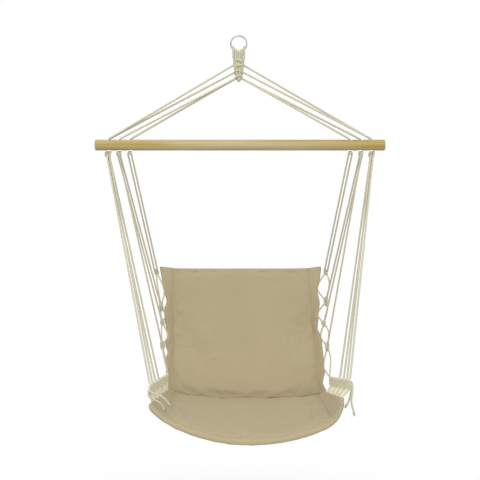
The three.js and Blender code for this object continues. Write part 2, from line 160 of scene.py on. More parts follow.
def evenly(points: Sequence[Vector], spacing: float) -> list[Vector]:
    """Points at an even spacing along a polyline, its ends included.

    Args:
        points: the polyline.
        spacing: about how far apart the points lie.

    Returns:
        The new points.
    """
    runs = [0.0]
    for before, after in zip(points, points[1:]):
        runs.append(runs[-1] + (after - before).length)
    count = max(2, round(runs[-1] / spacing))
    result, at = [], 0
    for number in range(count + 1):
        goal = runs[-1] * number / count
        while at < len(points) - 2 and runs[at + 1] < goal:
            at += 1
        step = runs[at + 1] - runs[at]
        result.append(points[at].lerp(points[at + 1], (goal - runs[at]) / step if step else 0.0))
    return result


def smooth_line(controls: Sequence[Vector], spacing: float) -> list[Vector]:
    """An even line along a smooth curve through a few chosen points.

    Args:
        controls: the points that the curve passes through.
        spacing: about how far apart the line's points lie.

    Returns:
        The line's points.
    """
    around = [controls[0] * 2 - controls[1], *controls, controls[-1] * 2 - controls[-2]]
    dense = []
    for p0, p1, p2, p3 in zip(around, around[1:], around[2:], around[3:]):
        t1 = max((p1 - p0).length, 1e-6) ** 0.5
        t2 = t1 + max((p2 - p1).length, 1e-6) ** 0.5
        t3 = t2 + max((p3 - p2).length, 1e-6) ** 0.5
        for share in shares(12)[:-1]:
            t = mix(t1, t2, share)
            a1 = p0.lerp(p1, t / t1)
            a2 = p1.lerp(p2, (t - t1) / (t2 - t1))
            a3 = p2.lerp(p3, (t - t2) / (t3 - t2))
            b1 = a1.lerp(a2, t / t2)
            b2 = a2.lerp(a3, (t - t1) / (t3 - t1))
            dense.append(b1.lerp(b2, (t - t1) / (t2 - t1)))
    return evenly([*dense, controls[-1]], spacing)


def curved(start: Vector, corner: Vector, goal: Vector, steps: int) -> list[Vector]:
    """The inner points of a soft bend.

    Args:
        start: where the bend starts.
        corner: the corner that it rounds off.
        goal: where it ends.
        steps: the count of steps along it.

    Returns:
        The points between start and goal.
    """
    return [start.lerp(corner, t).lerp(corner.lerp(goal, t), t) for t in shares(steps)[1:-1]]


def select_only(piece: bpy.types.Object) -> None:
    """Selects one object alone and makes it the active one."""
    deselect()
    piece.select_set(True)
    bpy.context.view_layer.objects.active = piece


def deselect() -> None:
    """Leaves nothing selected, so that an operator acts only on what is added next."""
    for thing in bpy.context.view_layer.objects:
        thing.select_set(False)


def added_piece(name: str) -> bpy.types.Object:
    """Names the primitive that was just added, and puts its place, turn and scale into its mesh.

    Args:
        name: its name.

    Returns:
        The object.
    """
    piece = bpy.context.active_object
    select_only(piece)
    bpy.ops.object.transform_apply(location=True, rotation=True, scale=True)
    piece.name = name
    return piece


def apply_modifiers(piece: bpy.types.Object) -> None:
    """Applies every modifier of a piece, first to last."""
    select_only(piece)
    for modifier in list(piece.modifiers):
        bpy.ops.object.modifier_apply(modifier=modifier.name)


class MeshDraft:
    """A mesh in the making: corners, faces, a UV for each face corner and painted shading for each corner."""

    def __init__(self) -> None:
        """Starts with nothing in it."""
        self.corners: list[Vector] = []
        self.faces: list[tuple[int, ...]] = []
        self.uvs: list[tuple[float, float]] = []
        self.tones: list[float] = []

    def add_corner(self, place: Vector, tone: float = 0.0) -> int:
        """Adds one corner.

        Args:
            place: where it is.
            tone: the light or shade painted on the cloth there, under 0 where darker.

        Returns:
            The corner's number.
        """
        self.corners.append(place)
        self.tones.append(tone)
        return len(self.corners) - 1

    def add_face(self, corners: Sequence[int], uvs: Sequence[tuple[float, float]]) -> None:
        """Adds one face with a UV at each of its corners."""
        self.faces.append(tuple(corners))
        self.uvs.extend(uvs)

    def add_rings(self, rings: Sequence[Sequence[Vector]], along: Sequence[float],
                  tones: Optional[Sequence[Sequence[float]]] = None, girth: float = 1.0) -> None:
        """Adds a closed skin round a row of rings, with a fan at each end.

        Args:
            rings: the rings, each with the same count of points.
            along: the UV of each ring along the row.
            tones: the painted shading of each point, or None for plain.
            girth: the UV once around a ring.
        """
        count = len(rings[0])
        first = len(self.corners)
        around = [girth * share for share in shares(count)]
        for number, ring in enumerate(rings):
            for step, place in enumerate(ring):
                self.add_corner(place, tones[number][step] if tones else 0.0)
        for number in range(len(rings) - 1):
            low = first + number * count
            u0, u1 = along[number], along[number + 1]
            for step in range(count):
                after = (step + 1) % count
                v0, v1 = around[step], around[step + 1]
                self.add_face((low + step, low + after, low + count + after, low + count + step),
                              ((u0, v0), (u0, v1), (u1, v1), (u1, v0)))
        for number, turned in ((0, True), (len(rings) - 1, False)):
            middle = sum(rings[number], Vector()) / count
            centre = self.add_corner(middle, tones[number][0] if tones else 0.0)
            low = first + number * count
            for step in range(count):
                after = (step + 1) % count
                pair = (low + after, low + step) if turned else (low + step, low + after)
                self.add_face((*pair, centre), [(along[number], around[step])] * 3)

    def finished(self, name: str) -> bpy.types.Object:
        """Makes the drafted piece as an object at the origin, smoothly shaded.

        Args:
            name: the new object's name.

        Returns:
            The object.
        """
        mesh = bpy.data.meshes.new(name)
        mesh.from_pydata([tuple(corner) for corner in self.corners], [], self.faces)
        layer = mesh.uv_layers.new(name="UVMap")
        layer.data.foreach_set("uv", [value for uv in self.uvs for value in uv])
        # The painted light and shade of each corner, which the canvas material reads.
        tone = mesh.attributes.new("tone", "FLOAT", "POINT")
        tone.data.foreach_set("value", self.tones)
        mesh.shade_smooth()
        piece = bpy.data.objects.new(name, mesh)
        bpy.context.scene.collection.objects.link(piece)
        return piece


@dataclass(frozen=True)
class Rope:
    """A laid cotton cord: round strands twisted together."""

    diameter: float
    strands: int = 3
    lay_share: float = 3.4
    groove_share: float = 0.16
    sides_per_strand: int = 4
    steps_per_lay: int = 9
    tips: tuple[float, ...] = (0.55, 0.9)

    def profile(self, angle: float) -> float:
        """The cord's radius at an angle from the crest of one strand."""
        crest = abs(math.cos(self.strands * angle / 2.0))
        return self.diameter / 2.0 * (1.0 - self.groove_share * (1.0 - crest))

    def lay_along(self, draft: MeshDraft, line: Sequence[Vector], turn: float = 0.0) -> None:
        """Adds the cord to a draft along a line.

        Args:
            draft: the mesh in the making.
            line: the points that the cord's centre follows.
            turn: the angle at which its first strand starts.
        """
        lay = self.diameter * self.lay_share
        points = evenly(line, lay / self.steps_per_lay)
        last = len(points) - 1
        across = (points[1] - points[0]).normalized().orthogonal().normalized()
        rings, along, run = [], [], 0.0
        for number, place in enumerate(points):
            before = points[max(number - 1, 0)]
            way = (points[min(number + 1, last)] - before).normalized()
            run += (place - before).length
            across = (across - way * across.dot(way)).normalized()
            beside = way.cross(across)
            twist = turn + run / lay * TURN
            end_gap = min(number, last - number)
            trim = self.tips[end_gap] if end_gap < len(self.tips) else 1.0
            rings.append([place + toward(across, beside, angle + twist) * (self.profile(angle) * trim)
                          for angle in angles(self.strands * self.sides_per_strand)])
            along.append(run)
        draft.add_rings(rings, along)


def knot_line(middle: Vector, axis: Vector, width: float, height: float, cord: float) -> list[Vector]:
    """The centre line of an overhand knot, pulled tight.

    Args:
        middle: the knot's centre.
        axis: the way of the cord that it is tied in.
        width: the knot's outer width.
        height: its outer length along the axis.
        cord: the diameter of its cord.

    Returns:
        A closed line's points, the first one again at the end.
    """
    way = axis.normalized()
    across, beside = square_ways(way)
    spread = (width - cord) / 6.0
    rise = (height - cord) / 2.0
    line = []
    for share in shares(48):
        t = share * TURN
        x = math.sin(t) + 2.0 * math.sin(2.0 * t)
        y = math.cos(t) - 2.0 * math.cos(2.0 * t)
        line.append(middle + across * (x * spread) + beside * (y * spread) - way * (math.sin(3.0 * t) * rise))
    return line


def coil_line(start: Vector, end: Vector, radius: float, turns: float, phase: float,
              crossed: bool = False) -> list[Vector]:
    """A cord wound round a stretch of cords, a little fuller in its middle.

    Args:
        start: where the winding starts on its axis.
        end: where it ends.
        radius: how far the cord's centre lies from the axis.
        turns: the count of turns.
        phase: the angle of the first turn.
        crossed: whether it crosses back over its own turns at the end.

    Returns:
        The line's points.
    """
    steps_per_turn, cross_steps, cross_angle = 14, 8, 1.9
    axis = end - start
    across, beside = square_ways(axis.normalized())
    line = []
    for share in shares(int(turns * steps_per_turn)):
        belly = radius * (0.86 + 0.14 * math.sin(math.pi * share))
        line.append(start + axis * share + toward(across, beside, phase + share * turns * TURN) * belly)
    for share in shares(cross_steps)[1:] if crossed else ():
        swell = radius * (1.0 + 0.42 * math.sin(math.pi * share))
        line.append(end - axis * share + toward(across, beside, phase + turns * TURN + share * cross_angle) * swell)
    return line


# ---- The sling's shape ----


@dataclass(frozen=True)
class Panel:
    """One padded panel of the sling: a curved surface between two lines across the chair."""

    start: Callable[[float], Vector]
    end: Callable[[float], Vector]
    hollow: float
    half: Callable[[float], float]

    def length(self) -> float:
        """The panel's length along its side edge."""
        return (self.end(1.0) - self.start(1.0)).length


@dataclass(frozen=True)
class HemFrame:
    """A place along a side hem: its seam, its outer edge, and the ways across it and square to it."""

    seam: Vector
    edge: Vector
    across: Vector
    upright: Vector
    width: float


@dataclass
class SlingShape:
    """The surface that the canvas follows, and the places of the cords that hold it.

    Where a size differs from side to side it is a pair, the left one first.
    """

    bar_z: float = -0.3
    top_behind: float = 0.223
    top_below: float = 0.356
    top_corner_rise: float = 0.005
    crease_behind: float = 0.063
    crease_below: float = 0.688
    crease_sag: float = 0.028
    crease_drop_right: float = 0.009
    crease_set_back: float = 0.008
    front_ahead: float = 0.327
    front_below: float = 0.645
    front_sag: float = 0.089
    front_lift_right: float = 0.016
    front_bow: float = 0.012
    front_corners: tuple[tuple[float, float], ...] = ((0.2, 12.0), (0.45, 16.0))
    side_drift: float = 0.022
    drift_power: float = 2.25
    seam_half: float = 0.205
    back_half: float = 0.227
    seat_half: float = 0.236
    top_flare: float = 0.017
    back_hollow: float = 0.022
    seat_hollow: float = 0.010
    hem_thickness: float = 0.012
    lip_middle: float = 0.015
    lip_corner: float = 0.045
    touch_gap: float = 0.0003
    knot_size: float = 0.015
    knot_shares: tuple[tuple[float, ...], ...] = ((0.05, 0.345, 0.475, 0.66), (0.05, 0.3, 0.475, 0.66))
    knot_outs: tuple[tuple[float, ...], ...] = ((1.6, 1.15, 1.05, 1.3), (1.9, 2.5, 1.3, 2.0))
    scallops: tuple[tuple[tuple[float, float], ...], ...] = (
        ((0.0, 0.0), (0.06, 0.001), (0.16, 0.002), (0.29, 0.010), (0.36, 0.001), (0.43, 0.001),
         (0.56, 0.008), (0.64, 0.001), (0.7, 0.007), (0.76, 0.001), (0.9, 0.0), (1.0, 0.0)),
        ((0.0, 0.0), (0.08, 0.001), (0.2, 0.007), (0.3, 0.001), (0.39, 0.006), (0.5, 0.011),
         (0.57, 0.001), (0.72, 0.0), (0.84, 0.0), (0.92, 0.008), (1.0, 0.0)))
    arm_height: float = 0.028
    arm_drop: float = 0.016
    arm_reach: tuple[float, float] = (0.05, 0.9)
    arm_outs: tuple[tuple[float, float], ...] = ((0.0, 0.008), (0.012, 0.024))
    normal_step: float = 0.005

    def __post_init__(self) -> None:
        """Builds the two panels from the sizes."""
        self.back = Panel(self.top_line, self.crease_line, self.back_hollow, self.back_half_at)
        self.seat = Panel(self.crease_line, self.front_line, self.seat_hollow, self.seat_half_at)

    def top_line(self, u: float) -> Vector:
        """The top of the back, from edge to edge as u goes from -1 to 1."""
        return Vector((0.0, self.top_behind, self.bar_z - self.top_below + self.top_corner_rise * u ** 8))

    def crease_line(self, u: float) -> Vector:
        """The crease between back and seat.

        Args:
            u: the place across it, from -1 to 1.

        Returns:
            The place, before it is set across the chair.
        """
        fall = 1.0 - abs(u) ** 3
        drop = self.crease_sag * fall + (self.crease_drop_right * (1.0 - fall) if u > 0.0 else 0.0)
        return Vector((0.0, self.crease_behind + self.crease_set_back * fall, self.bar_z - self.crease_below - drop))

    def front_line(self, u: float) -> Vector:
        """The front of the seat, with its own corner on each side.

        Args:
            u: the place across it, from -1 to 1.

        Returns:
            The place, before it is set across the chair.
        """
        corner, power = (Side.LEFT if u < 0.0 else Side.RIGHT).of(self.front_corners)
        fall = 1.0 - (1.0 - corner) * u * u - corner * abs(u) ** power
        drop = self.front_sag * fall - (self.front_lift_right * (1.0 - fall) if u > 0.0 else 0.0)
        return Vector((0.0, -self.front_ahead - self.front_bow * fall, self.bar_z - self.front_below - drop))

    def back_half_at(self, share: float) -> float:
        """Half the width of the back at a share of its height from the top."""
        return self.back_half + self.top_flare * (1.0 - share) ** 4

    def seat_half_at(self, share: float) -> float:
        """Half the width of the seat at a share of its depth from the crease."""
        return mix(self.back_half, self.seat_half, share)

    def lip(self, u: float) -> float:
        """The height of the seat's front lip, which grows towards the corners."""
        return mix(self.lip_middle, self.lip_corner, eased(abs(u), 0.5, 1.0))

    def drift(self, z: float) -> float:
        """How far the sling hangs to one side at a height."""
        return self.side_drift * max((self.bar_z - z) / self.crease_below, 0.0) ** self.drift_power

    def point(self, panel: Panel, share: float, u: float) -> Vector:
        """A point of the cloth's middle.

        Args:
            panel: the panel that it lies in.
            share: its share along the panel.
            u: its place across the panel, from -1 to 1.

        Returns:
            The point.
        """
        start, end = panel.start(u), panel.end(u)
        way = (end - start).normalized()
        bow = panel.hollow * math.sin(math.pi * share) * (1.0 - u ** 6)
        place = start.lerp(end, share) + Vector((0.0, -way.z, way.y)) * bow
        place.x = u * panel.half(share) + self.drift(place.z)
        return place

    def along(self, panel: Panel, share: float, u: float) -> Vector:
        """The cloth's way along its panel."""
        before = self.point(panel, max(share - self.normal_step, 0.0), u)
        return (self.point(panel, min(share + self.normal_step, 1.0), u) - before).normalized()

    def normal(self, panel: Panel, share: float, u: float) -> Vector:
        """The way out of the cloth on the sitter's side.

        Args:
            panel: the panel that it lies in.
            share: its share along the panel.
            u: its place across the panel, from -1 to 1.

        Returns:
            The way.
        """
        left = self.point(panel, share, max(u - self.normal_step, -1.0))
        right = self.point(panel, share, min(u + self.normal_step, 1.0))
        return self.along(panel, share, u).cross(right - left).normalized()

    def seam_share(self, panel: Panel, share: float) -> float:
        """Where the side seam lies across a panel."""
        return self.seam_half / panel.half(share)

    def scallop(self, panel: Panel, share: float, side: Side) -> float:
        """How far the lacing draws a panel's edge in between its knots."""
        return between_stops(side.of(self.scallops), share) if panel is self.back else 0.0

    def hem(self, panel: Panel, share: float, side: Side) -> HemFrame:
        """The frame of a side hem.

        Args:
            panel: the hem's panel.
            share: the share along it.
            side: which side of the chair.

        Returns:
            The frame.
        """
        seam = self.point(panel, share, side.value * self.seam_share(panel, share))
        edge = self.point(panel, share, side.value)
        across = (edge - seam).normalized()
        upright = (self.along(panel, share, side.value).cross(across) * side.value).normalized()
        return HemFrame(seam, edge, across, upright, (edge - seam).length)

    def hem_round(self, panel: Panel, share: float, side: Side) -> Vector:
        """The centre of a hem's rounded edge."""
        hem = self.hem(panel, share, side)
        return hem.edge - hem.across * (self.hem_thickness / 2.0)

    def lace_knot(self, number: int, side: Side) -> Vector:
        """The centre of one knot of the side lacing."""
        hem = self.hem(self.back, side.of(self.knot_shares)[number], side)
        return hem.edge + hem.across * (side.of(self.knot_outs)[number] * self.knot_size / 2.0 + self.touch_gap)

    def arm_foot(self, share: float, side: Side) -> Vector:
        """The hem's rounded edge under an arm band, at a share of its length from the back."""
        return self.hem_round(self.seat, mix(*self.arm_reach, share), side)

    def arm_middle(self, share: float, side: Side) -> Vector:
        """The middle of an arm band at a share of its length from the back."""
        rise = self.hem_thickness / 2.0 + self.arm_drop + self.arm_height / 2.0
        return self.arm_foot(share, side) + Vector((side.value * mix(*side.of(self.arm_outs), share), 0.0, rise))


# ---- Materials ----


class Varying:
    """A number that varies over a surface: an output socket that takes part in plain arithmetic."""

    def __init__(self, plan: "NodePlan", socket: bpy.types.NodeSocket) -> None:
        """Wraps an output socket of a plan's tree."""
        self.plan = plan
        self.socket = socket

    def output(self, key: Union[int, str]) -> "Varying":
        """Another output of the same node."""
        return Varying(self.plan, self.socket.node.outputs[key])

    def _maths(self, operation: str, *values: Union["Varying", float]) -> "Varying":
        """Adds one Math node."""
        return self.plan.node("ShaderNodeMath", {"operation": operation}, dict(enumerate(values)))

    def __add__(self, other: Union["Varying", float]) -> "Varying":
        """This plus another."""
        return self._maths("ADD", self, other)

    def __radd__(self, other: float) -> "Varying":
        """A number plus this."""
        return self._maths("ADD", other, self)

    def __sub__(self, other: Union["Varying", float]) -> "Varying":
        """This less another."""
        return self._maths("SUBTRACT", self, other)

    def __rsub__(self, other: float) -> "Varying":
        """A number less this."""
        return self._maths("SUBTRACT", other, self)

    def __mul__(self, other: Union["Varying", float]) -> "Varying":
        """This times another."""
        return self._maths("MULTIPLY", self, other)

    def __rmul__(self, other: float) -> "Varying":
        """A number times this."""
        return self._maths("MULTIPLY", other, self)

    def __truediv__(self, other: Union["Varying", float]) -> "Varying":
        """This divided by another."""
        return self._maths("DIVIDE", self, other)

    def __pow__(self, other: Union["Varying", float]) -> "Varying":
        """This to a power."""
        return self._maths("POWER", self, other)

    def size(self) -> "Varying":
        """This without its sign."""
        return self._maths("ABSOLUTE", self)

    def root(self) -> "Varying":
        """The square root of this."""
        return self._maths("SQRT", self)

    def at_least(self, other: Union["Varying", float]) -> "Varying":
        """The larger of this and another."""
        return self._maths("MAXIMUM", self, other)

    def sine(self) -> "Varying":
        """The sine of this."""
        return self._maths("SINE", self)

    def cosine(self) -> "Varying":
        """The cosine of this."""
        return self._maths("COSINE", self)

    def wave(self) -> "Varying":
        """A wave between 0 and 1, once for each whole number of this."""
        return (self * TURN).sine() * 0.5 + 0.5

    def step_between(self, low: float, high: float) -> "Varying":
        """A smooth step of this from 0 at low to 1 at high."""
        settings = {"interpolation_type": "SMOOTHSTEP"}
        return self.plan.node("ShaderNodeMapRange", settings, {0: self, 1: low, 2: high, 3: 0.0, 4: 1.0})


Colour = Triple
Input = Union[Varying, float, Colour, Vector, tuple]
WHITE: Colour = (1.0, 1.0, 1.0)


class NodePlan:
    """Builds a tree of shader nodes, one node at a time."""

    def __init__(self, tree: bpy.types.NodeTree) -> None:
        """Starts with the tree as it is."""
        self.tree = tree

    def node(self, kind: str, settings: dict[str, object], inputs: dict[Union[int, str], Input],
             output: Union[int, str] = 0) -> Varying:
        """Adds one node.

        Args:
            kind: the node's type.
            settings: its own settings, which are set first.
            inputs: a value or another node's output for each of its sockets.
            output: which output comes back.

        Returns:
            The node's output.
        """
        node = self.tree.nodes.new(kind)
        for key, value in settings.items():
            setattr(node, key, value)
        for key, value in inputs.items():
            self.feed(node.inputs[key], value)
        return Varying(self, node.outputs[output])

    def feed(self, socket: bpy.types.NodeSocket, value: Input) -> None:
        """Links a varying value to a socket, or sets a plain one.

        Args:
            socket: the input.
            value: what it gets. A colour needs no alpha.
        """
        if isinstance(value, Varying):
            self.tree.links.new(value.socket, socket)
        elif not isinstance(value, (int, float)) and len(value) == 3 and len(socket.default_value) == 4:
            socket.default_value = (*value, 1.0)
        else:
            socket.default_value = value

    def end_with(self, output: str, share: Varying, first: Varying, second: Varying) -> None:
        """Sends a mix of two shaders to the tree's output node, by a varying share."""
        both = self.node("ShaderNodeMixShader", {}, {0: share, 1: first, 2: second})
        self.feed(self.tree.nodes[output].inputs["Surface"], both)


class Recipe(NodePlan):
    """Builds one procedural material, node by node."""

    def __init__(self, name: str) -> None:
        """Starts a material with a Principled shader.

        Args:
            name: the material's name.
        """
        self.material = bpy.data.materials.new(name)
        self.material.use_nodes = True
        super().__init__(self.material.node_tree)
        self.shader = self.tree.nodes["Principled BSDF"]

    def place(self) -> Varying:
        """The place on the object."""
        return self.node("ShaderNodeTexCoord", {}, {}, "Object")

    def parts(self, vector: Varying) -> tuple[Varying, Varying, Varying]:
        """The three parts of a vector."""
        split = self.node("ShaderNodeSeparateXYZ", {}, {0: vector})
        return split, split.output(1), split.output(2)

    def uv(self) -> tuple[Varying, Varying]:
        """The piece's own two UV values."""
        return self.parts(self.node("ShaderNodeUVMap", {"uv_map": "UVMap"}, {}, "UV"))[:2]

    def joined(self, x: Input, y: Input, z: Input = 0.0) -> Varying:
        """A vector from three numbers."""
        return self.node("ShaderNodeCombineXYZ", {}, {0: x, 1: y, 2: z})

    def speckle(self, vector: Varying, scale: float = 1.0, detail: float = 2.0) -> Varying:
        """Soft noise from 0 to 1, centred on a half."""
        return self.node("ShaderNodeTexNoise", {}, {"Vector": vector, "Scale": scale, "Detail": detail})

    def stretched(self, vector: Varying, scale: Triple) -> Varying:
        """A vector scaled by a different number on each axis."""
        return self.node("ShaderNodeMapping", {}, {"Vector": vector, "Scale": scale})

    def tone(self) -> Varying:
        """The painted shading that the mesh carries: under 0 where shade is painted in seams, creases and folds, over
        0 where light is painted and along hem edges.
        """
        return self.node("ShaderNodeAttribute", {"attribute_name": "tone"}, {}, "Fac")

    def between(self, first: Input, second: Input, share: Varying) -> Varying:
        """A colour between two, by a varying share."""
        return self.node("ShaderNodeMix", {"data_type": "RGBA"}, {0: share, 6: first, 7: second}, 2)

    def shaded(self, colour: Input, strength: Varying) -> Varying:
        """A colour made lighter or darker by a varying factor."""
        inputs = {0: 1.0, 6: colour, 7: self.joined(strength, strength, strength)}
        return self.node("ShaderNodeMix", {"data_type": "RGBA", "blend_type": "MULTIPLY"}, inputs, 2)

    def bump(self, height: Varying, distance: float, strength: float = 1.0) -> Varying:
        """A bumped normal from a height of 0 to 1 that stands for a distance."""
        return self.node("ShaderNodeBump", {}, {"Height": height, "Distance": distance, "Strength": strength})

    def finish(self, **inputs: Input) -> bpy.types.Material:
        """Feeds the Principled shader.

        Args:
            inputs: what its sockets get, with the spaces in their names written as underscores.

        Returns:
            The finished material.
        """
        for name, value in inputs.items():
            self.feed(self.shader.inputs[name.replace("_", " ")], value)
        return self.material


@dataclass(frozen=True)
class CottonFinish:
    """Undyed cotton cord: pale and matt, with shade painted between its strands."""

    name: str = "cotton_cord"
    light: Colour = (0.60, 0.57, 0.42)
    deep: Colour = (0.50, 0.47, 0.335)
    strands: int = 3
    fibres: float = 26.0
    yarns_per_metre: float = 1500.0

    def make(self) -> bpy.types.Material:
        """Builds the material from the cord's own UV: metres along it, turns around it.

        Returns:
            The material.
        """
        recipe = Recipe(self.name)
        along, around = recipe.uv()
        # Strand crests take the light colour and the grooves between strands the darker one: painted shade. Blotch
        # varies at random and yarn follows the twist.
        crest = (around * (self.strands * math.pi)).cosine().size()
        blotch = recipe.speckle(recipe.place(), 55.0, 3.0)
        fuzz = recipe.speckle(recipe.place(), 1400.0, 1.0)
        yarn = (around * self.fibres + along * self.yarns_per_metre).wave()
        share = crest ** 0.6 * 0.75 + blotch * 0.35 + yarn * 0.08
        return recipe.finish(
            Base_Color=recipe.between(self.deep, self.light, share.step_between(0.05, 0.95)),
            Roughness=0.82 + blotch * 0.12,
            Sheen_Weight=0.15,
            Sheen_Roughness=0.5,
            Specular_IOR_Level=0.25,
            Normal=recipe.bump(yarn * 0.5 + fuzz * 0.5, 0.00025, 0.7),
        )


@dataclass(frozen=True)
class CanvasFinish:
    """Sand coloured cotton canvas in a plain weave."""

    name: str = "sling_canvas"
    colour: Colour = (0.400, 0.337, 0.208)
    thread: float = 0.0008
    slub_fine: float = 900.0
    slub_long: float = 45.0

    def make(self) -> bpy.types.Material:
        """Builds the material from the cloth's own UV, which is in metres.

        Returns:
            The material.
        """
        recipe = Recipe(self.name)
        across, along = recipe.uv()
        turn = math.pi / self.thread
        weave = (across * turn).sine() * (along * turn).sine()
        warp = recipe.speckle(recipe.joined(across * self.slub_fine, along * self.slub_long))
        weft = recipe.speckle(recipe.joined(across * self.slub_long, along * self.slub_fine))
        cloud = recipe.speckle(recipe.place(), 9.0, 3.0)
        # The mesh's painted shading darkens the cloth in seams, creases and folds and lightens it on lit faces.
        # Cloud, slubs and weave are the cloth's own.
        strength = 0.86 + cloud * 0.12 + (warp + weft) * 0.08 + weave * 0.03 + recipe.tone() * 0.5
        return recipe.finish(
            Base_Color=recipe.shaded(self.colour, strength),
            Roughness=0.8 + cloud * 0.12,
            Sheen_Weight=0.12,
            Sheen_Roughness=0.45,
            Specular_IOR_Level=0.2,
            Normal=recipe.bump(weave * 0.5 + 0.5 + (warp + weft) * 0.5, 0.0002, 0.6),
        )


@dataclass(frozen=True)
class ThreadFinish:
    """Sewing thread, a little lighter than the canvas."""

    name: str = "sewing_thread"
    colour: Colour = (0.5, 0.43, 0.29)
    twists_per_metre: float = 2200.0

    def make(self) -> bpy.types.Material:
        """Builds the material: fine twist across each stitch.

        Returns:
            The material.
        """
        recipe = Recipe(self.name)
        along, around = recipe.uv()
        ply = (along * self.twists_per_metre + around * 2.0).wave()
        patch = recipe.speckle(recipe.place(), 240.0)
        return recipe.finish(
            Base_Color=recipe.shaded(self.colour, 0.8 + ply * 0.15 + patch * 0.15),
            Roughness=0.62 + patch * 0.15,
            Normal=recipe.bump(ply, 0.0001, 0.6),
        )


@dataclass(frozen=True)
class PineFinish:
    """Waxed pine with its growth rings run along the bar."""

    name: str = "bar_pine"
    pale: Colour = (0.455, 0.385, 0.235)
    golden: Colour = (0.35, 0.245, 0.054)
    middle_x: float = 0.0035
    heart: tuple[float, float] = (0.028, -0.352)
    ring_width: float = 0.0042

    def make(self) -> bpy.types.Material:
        """Builds the material as solid wood, so that side and end grain agree.

        Returns:
            The material.
        """
        recipe = Recipe(self.name)
        place = recipe.place()
        wander = recipe.speckle(recipe.stretched(place, (2.2, 9.0, 9.0))) - 0.5
        x, y, z = recipe.parts(place)
        outer = (x - self.middle_x).size().step_between(0.08, 0.36) + x.step_between(0.12, 0.36) * 0.45
        out_y = y - self.heart[0] + wander * 0.012
        out_z = z - self.heart[1] + wander * 0.02
        ring = ((out_y * out_y + out_z * out_z).root() * (1.0 / self.ring_width)).wave()
        fibre = recipe.speckle(recipe.stretched(place, (6.0, 420.0, 420.0)), detail=3.0)
        streak = recipe.speckle(recipe.stretched(place, (5.0, 95.0, 95.0)))
        late = ring ** 3.0 * 0.3 + streak.step_between(0.4, 0.75) * 0.5 + fibre * 0.15 + outer * 0.32
        return recipe.finish(
            Base_Color=recipe.between(self.pale, self.golden, late),
            Roughness=0.55 + fibre * 0.2 - late * 0.05,
            Specular_IOR_Level=0.22,
            Normal=recipe.bump(fibre + late * 0.4, 0.00025, 0.5),
        )


@dataclass(frozen=True)
class SteelFinish:
    """Zinc plated steel wire, polished by use."""

    name: str = "ring_steel"
    bright: Colour = (0.34, 0.34, 0.35)
    dull: Colour = (0.19, 0.19, 0.20)

    def make(self) -> bpy.types.Material:
        """Builds the material: fine scratches and duller patches.

        Returns:
            The material.
        """
        recipe = Recipe(self.name)
        place = recipe.place()
        patch = recipe.speckle(place, 130.0, 3.0)
        scratch = recipe.speckle(recipe.stretched(place, (900.0, 120.0, 900.0)), detail=1.0)
        return recipe.finish(
            Base_Color=recipe.between(self.bright, self.dull, patch.step_between(0.35, 0.75)),
            Metallic=1.0,
            Roughness=0.2 + patch * 0.25,
            Normal=recipe.bump(scratch, 0.00005, 0.4),
        )


@dataclass(frozen=True)
class Coat:
    """A finish's material, and the record's slot that it stands for."""

    material: bpy.types.Material
    slot: Slot


class Wardrobe:
    """The finishes of the chair, each made once."""

    def __init__(self) -> None:
        """Makes every finish."""
        # A lighter copy of the cord cotton for the arm bands, painted light over the shade between their woven cords,
        # and a darker copy for the clew, painted shade.
        band = CottonFinish("band_cotton", (0.88, 0.84, 0.635), (0.80, 0.76, 0.56))
        clew = CottonFinish("clew_cotton", (0.55, 0.525, 0.375), (0.47, 0.445, 0.31))
        self.cotton = Coat(CottonFinish().make(), Slot.COTTON)
        self.band_cotton = Coat(band.make(), Slot.COTTON)
        self.clew_cotton = Coat(clew.make(), Slot.COTTON)
        self.canvas = Coat(CanvasFinish().make(), Slot.CANVAS)
        self.thread = Coat(ThreadFinish().make(), Slot.CANVAS)
        self.pine = Coat(PineFinish().make(), Slot.PINE)
        self.steel = Coat(SteelFinish().make(), Slot.STEEL)

    def dress(self, piece: bpy.types.Object, coat: Coat, *nodes: str, body: Body = Body.SLING) -> bpy.types.Object:
        """Gives a piece its finish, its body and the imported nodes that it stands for.

        Args:
            piece: the finished piece.
            coat: what it is made of.
            nodes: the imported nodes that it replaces.
            body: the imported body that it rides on.

        Returns:
            The piece.
        """
        piece.data.materials.clear()
        piece.data.materials.append(coat.material)
        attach(piece, body.value)
        if nodes:
            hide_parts(*nodes)
        log.info("%s: %d faces, rides on %s", piece.name, len(piece.data.polygons), body.value)
        return piece

    def roped(self, rope: Rope, line: Sequence[Vector], name: str, node: str, turn: float = 0.0,
              body: Body = Body.SLING) -> bpy.types.Object:
        """Makes one cord as a piece of its own.

        Args:
            rope: the cord.
            line: the points that its centre follows.
            name: the piece's name.
            node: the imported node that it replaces.
            turn: the angle at which its first strand starts.
            body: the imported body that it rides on.

        Returns:
            The piece.
        """
        draft = MeshDraft()
        rope.lay_along(draft, line, turn)
        return self.dress(draft.finished(name), self.cotton, node, body=body)


# ---- Camera and light ----


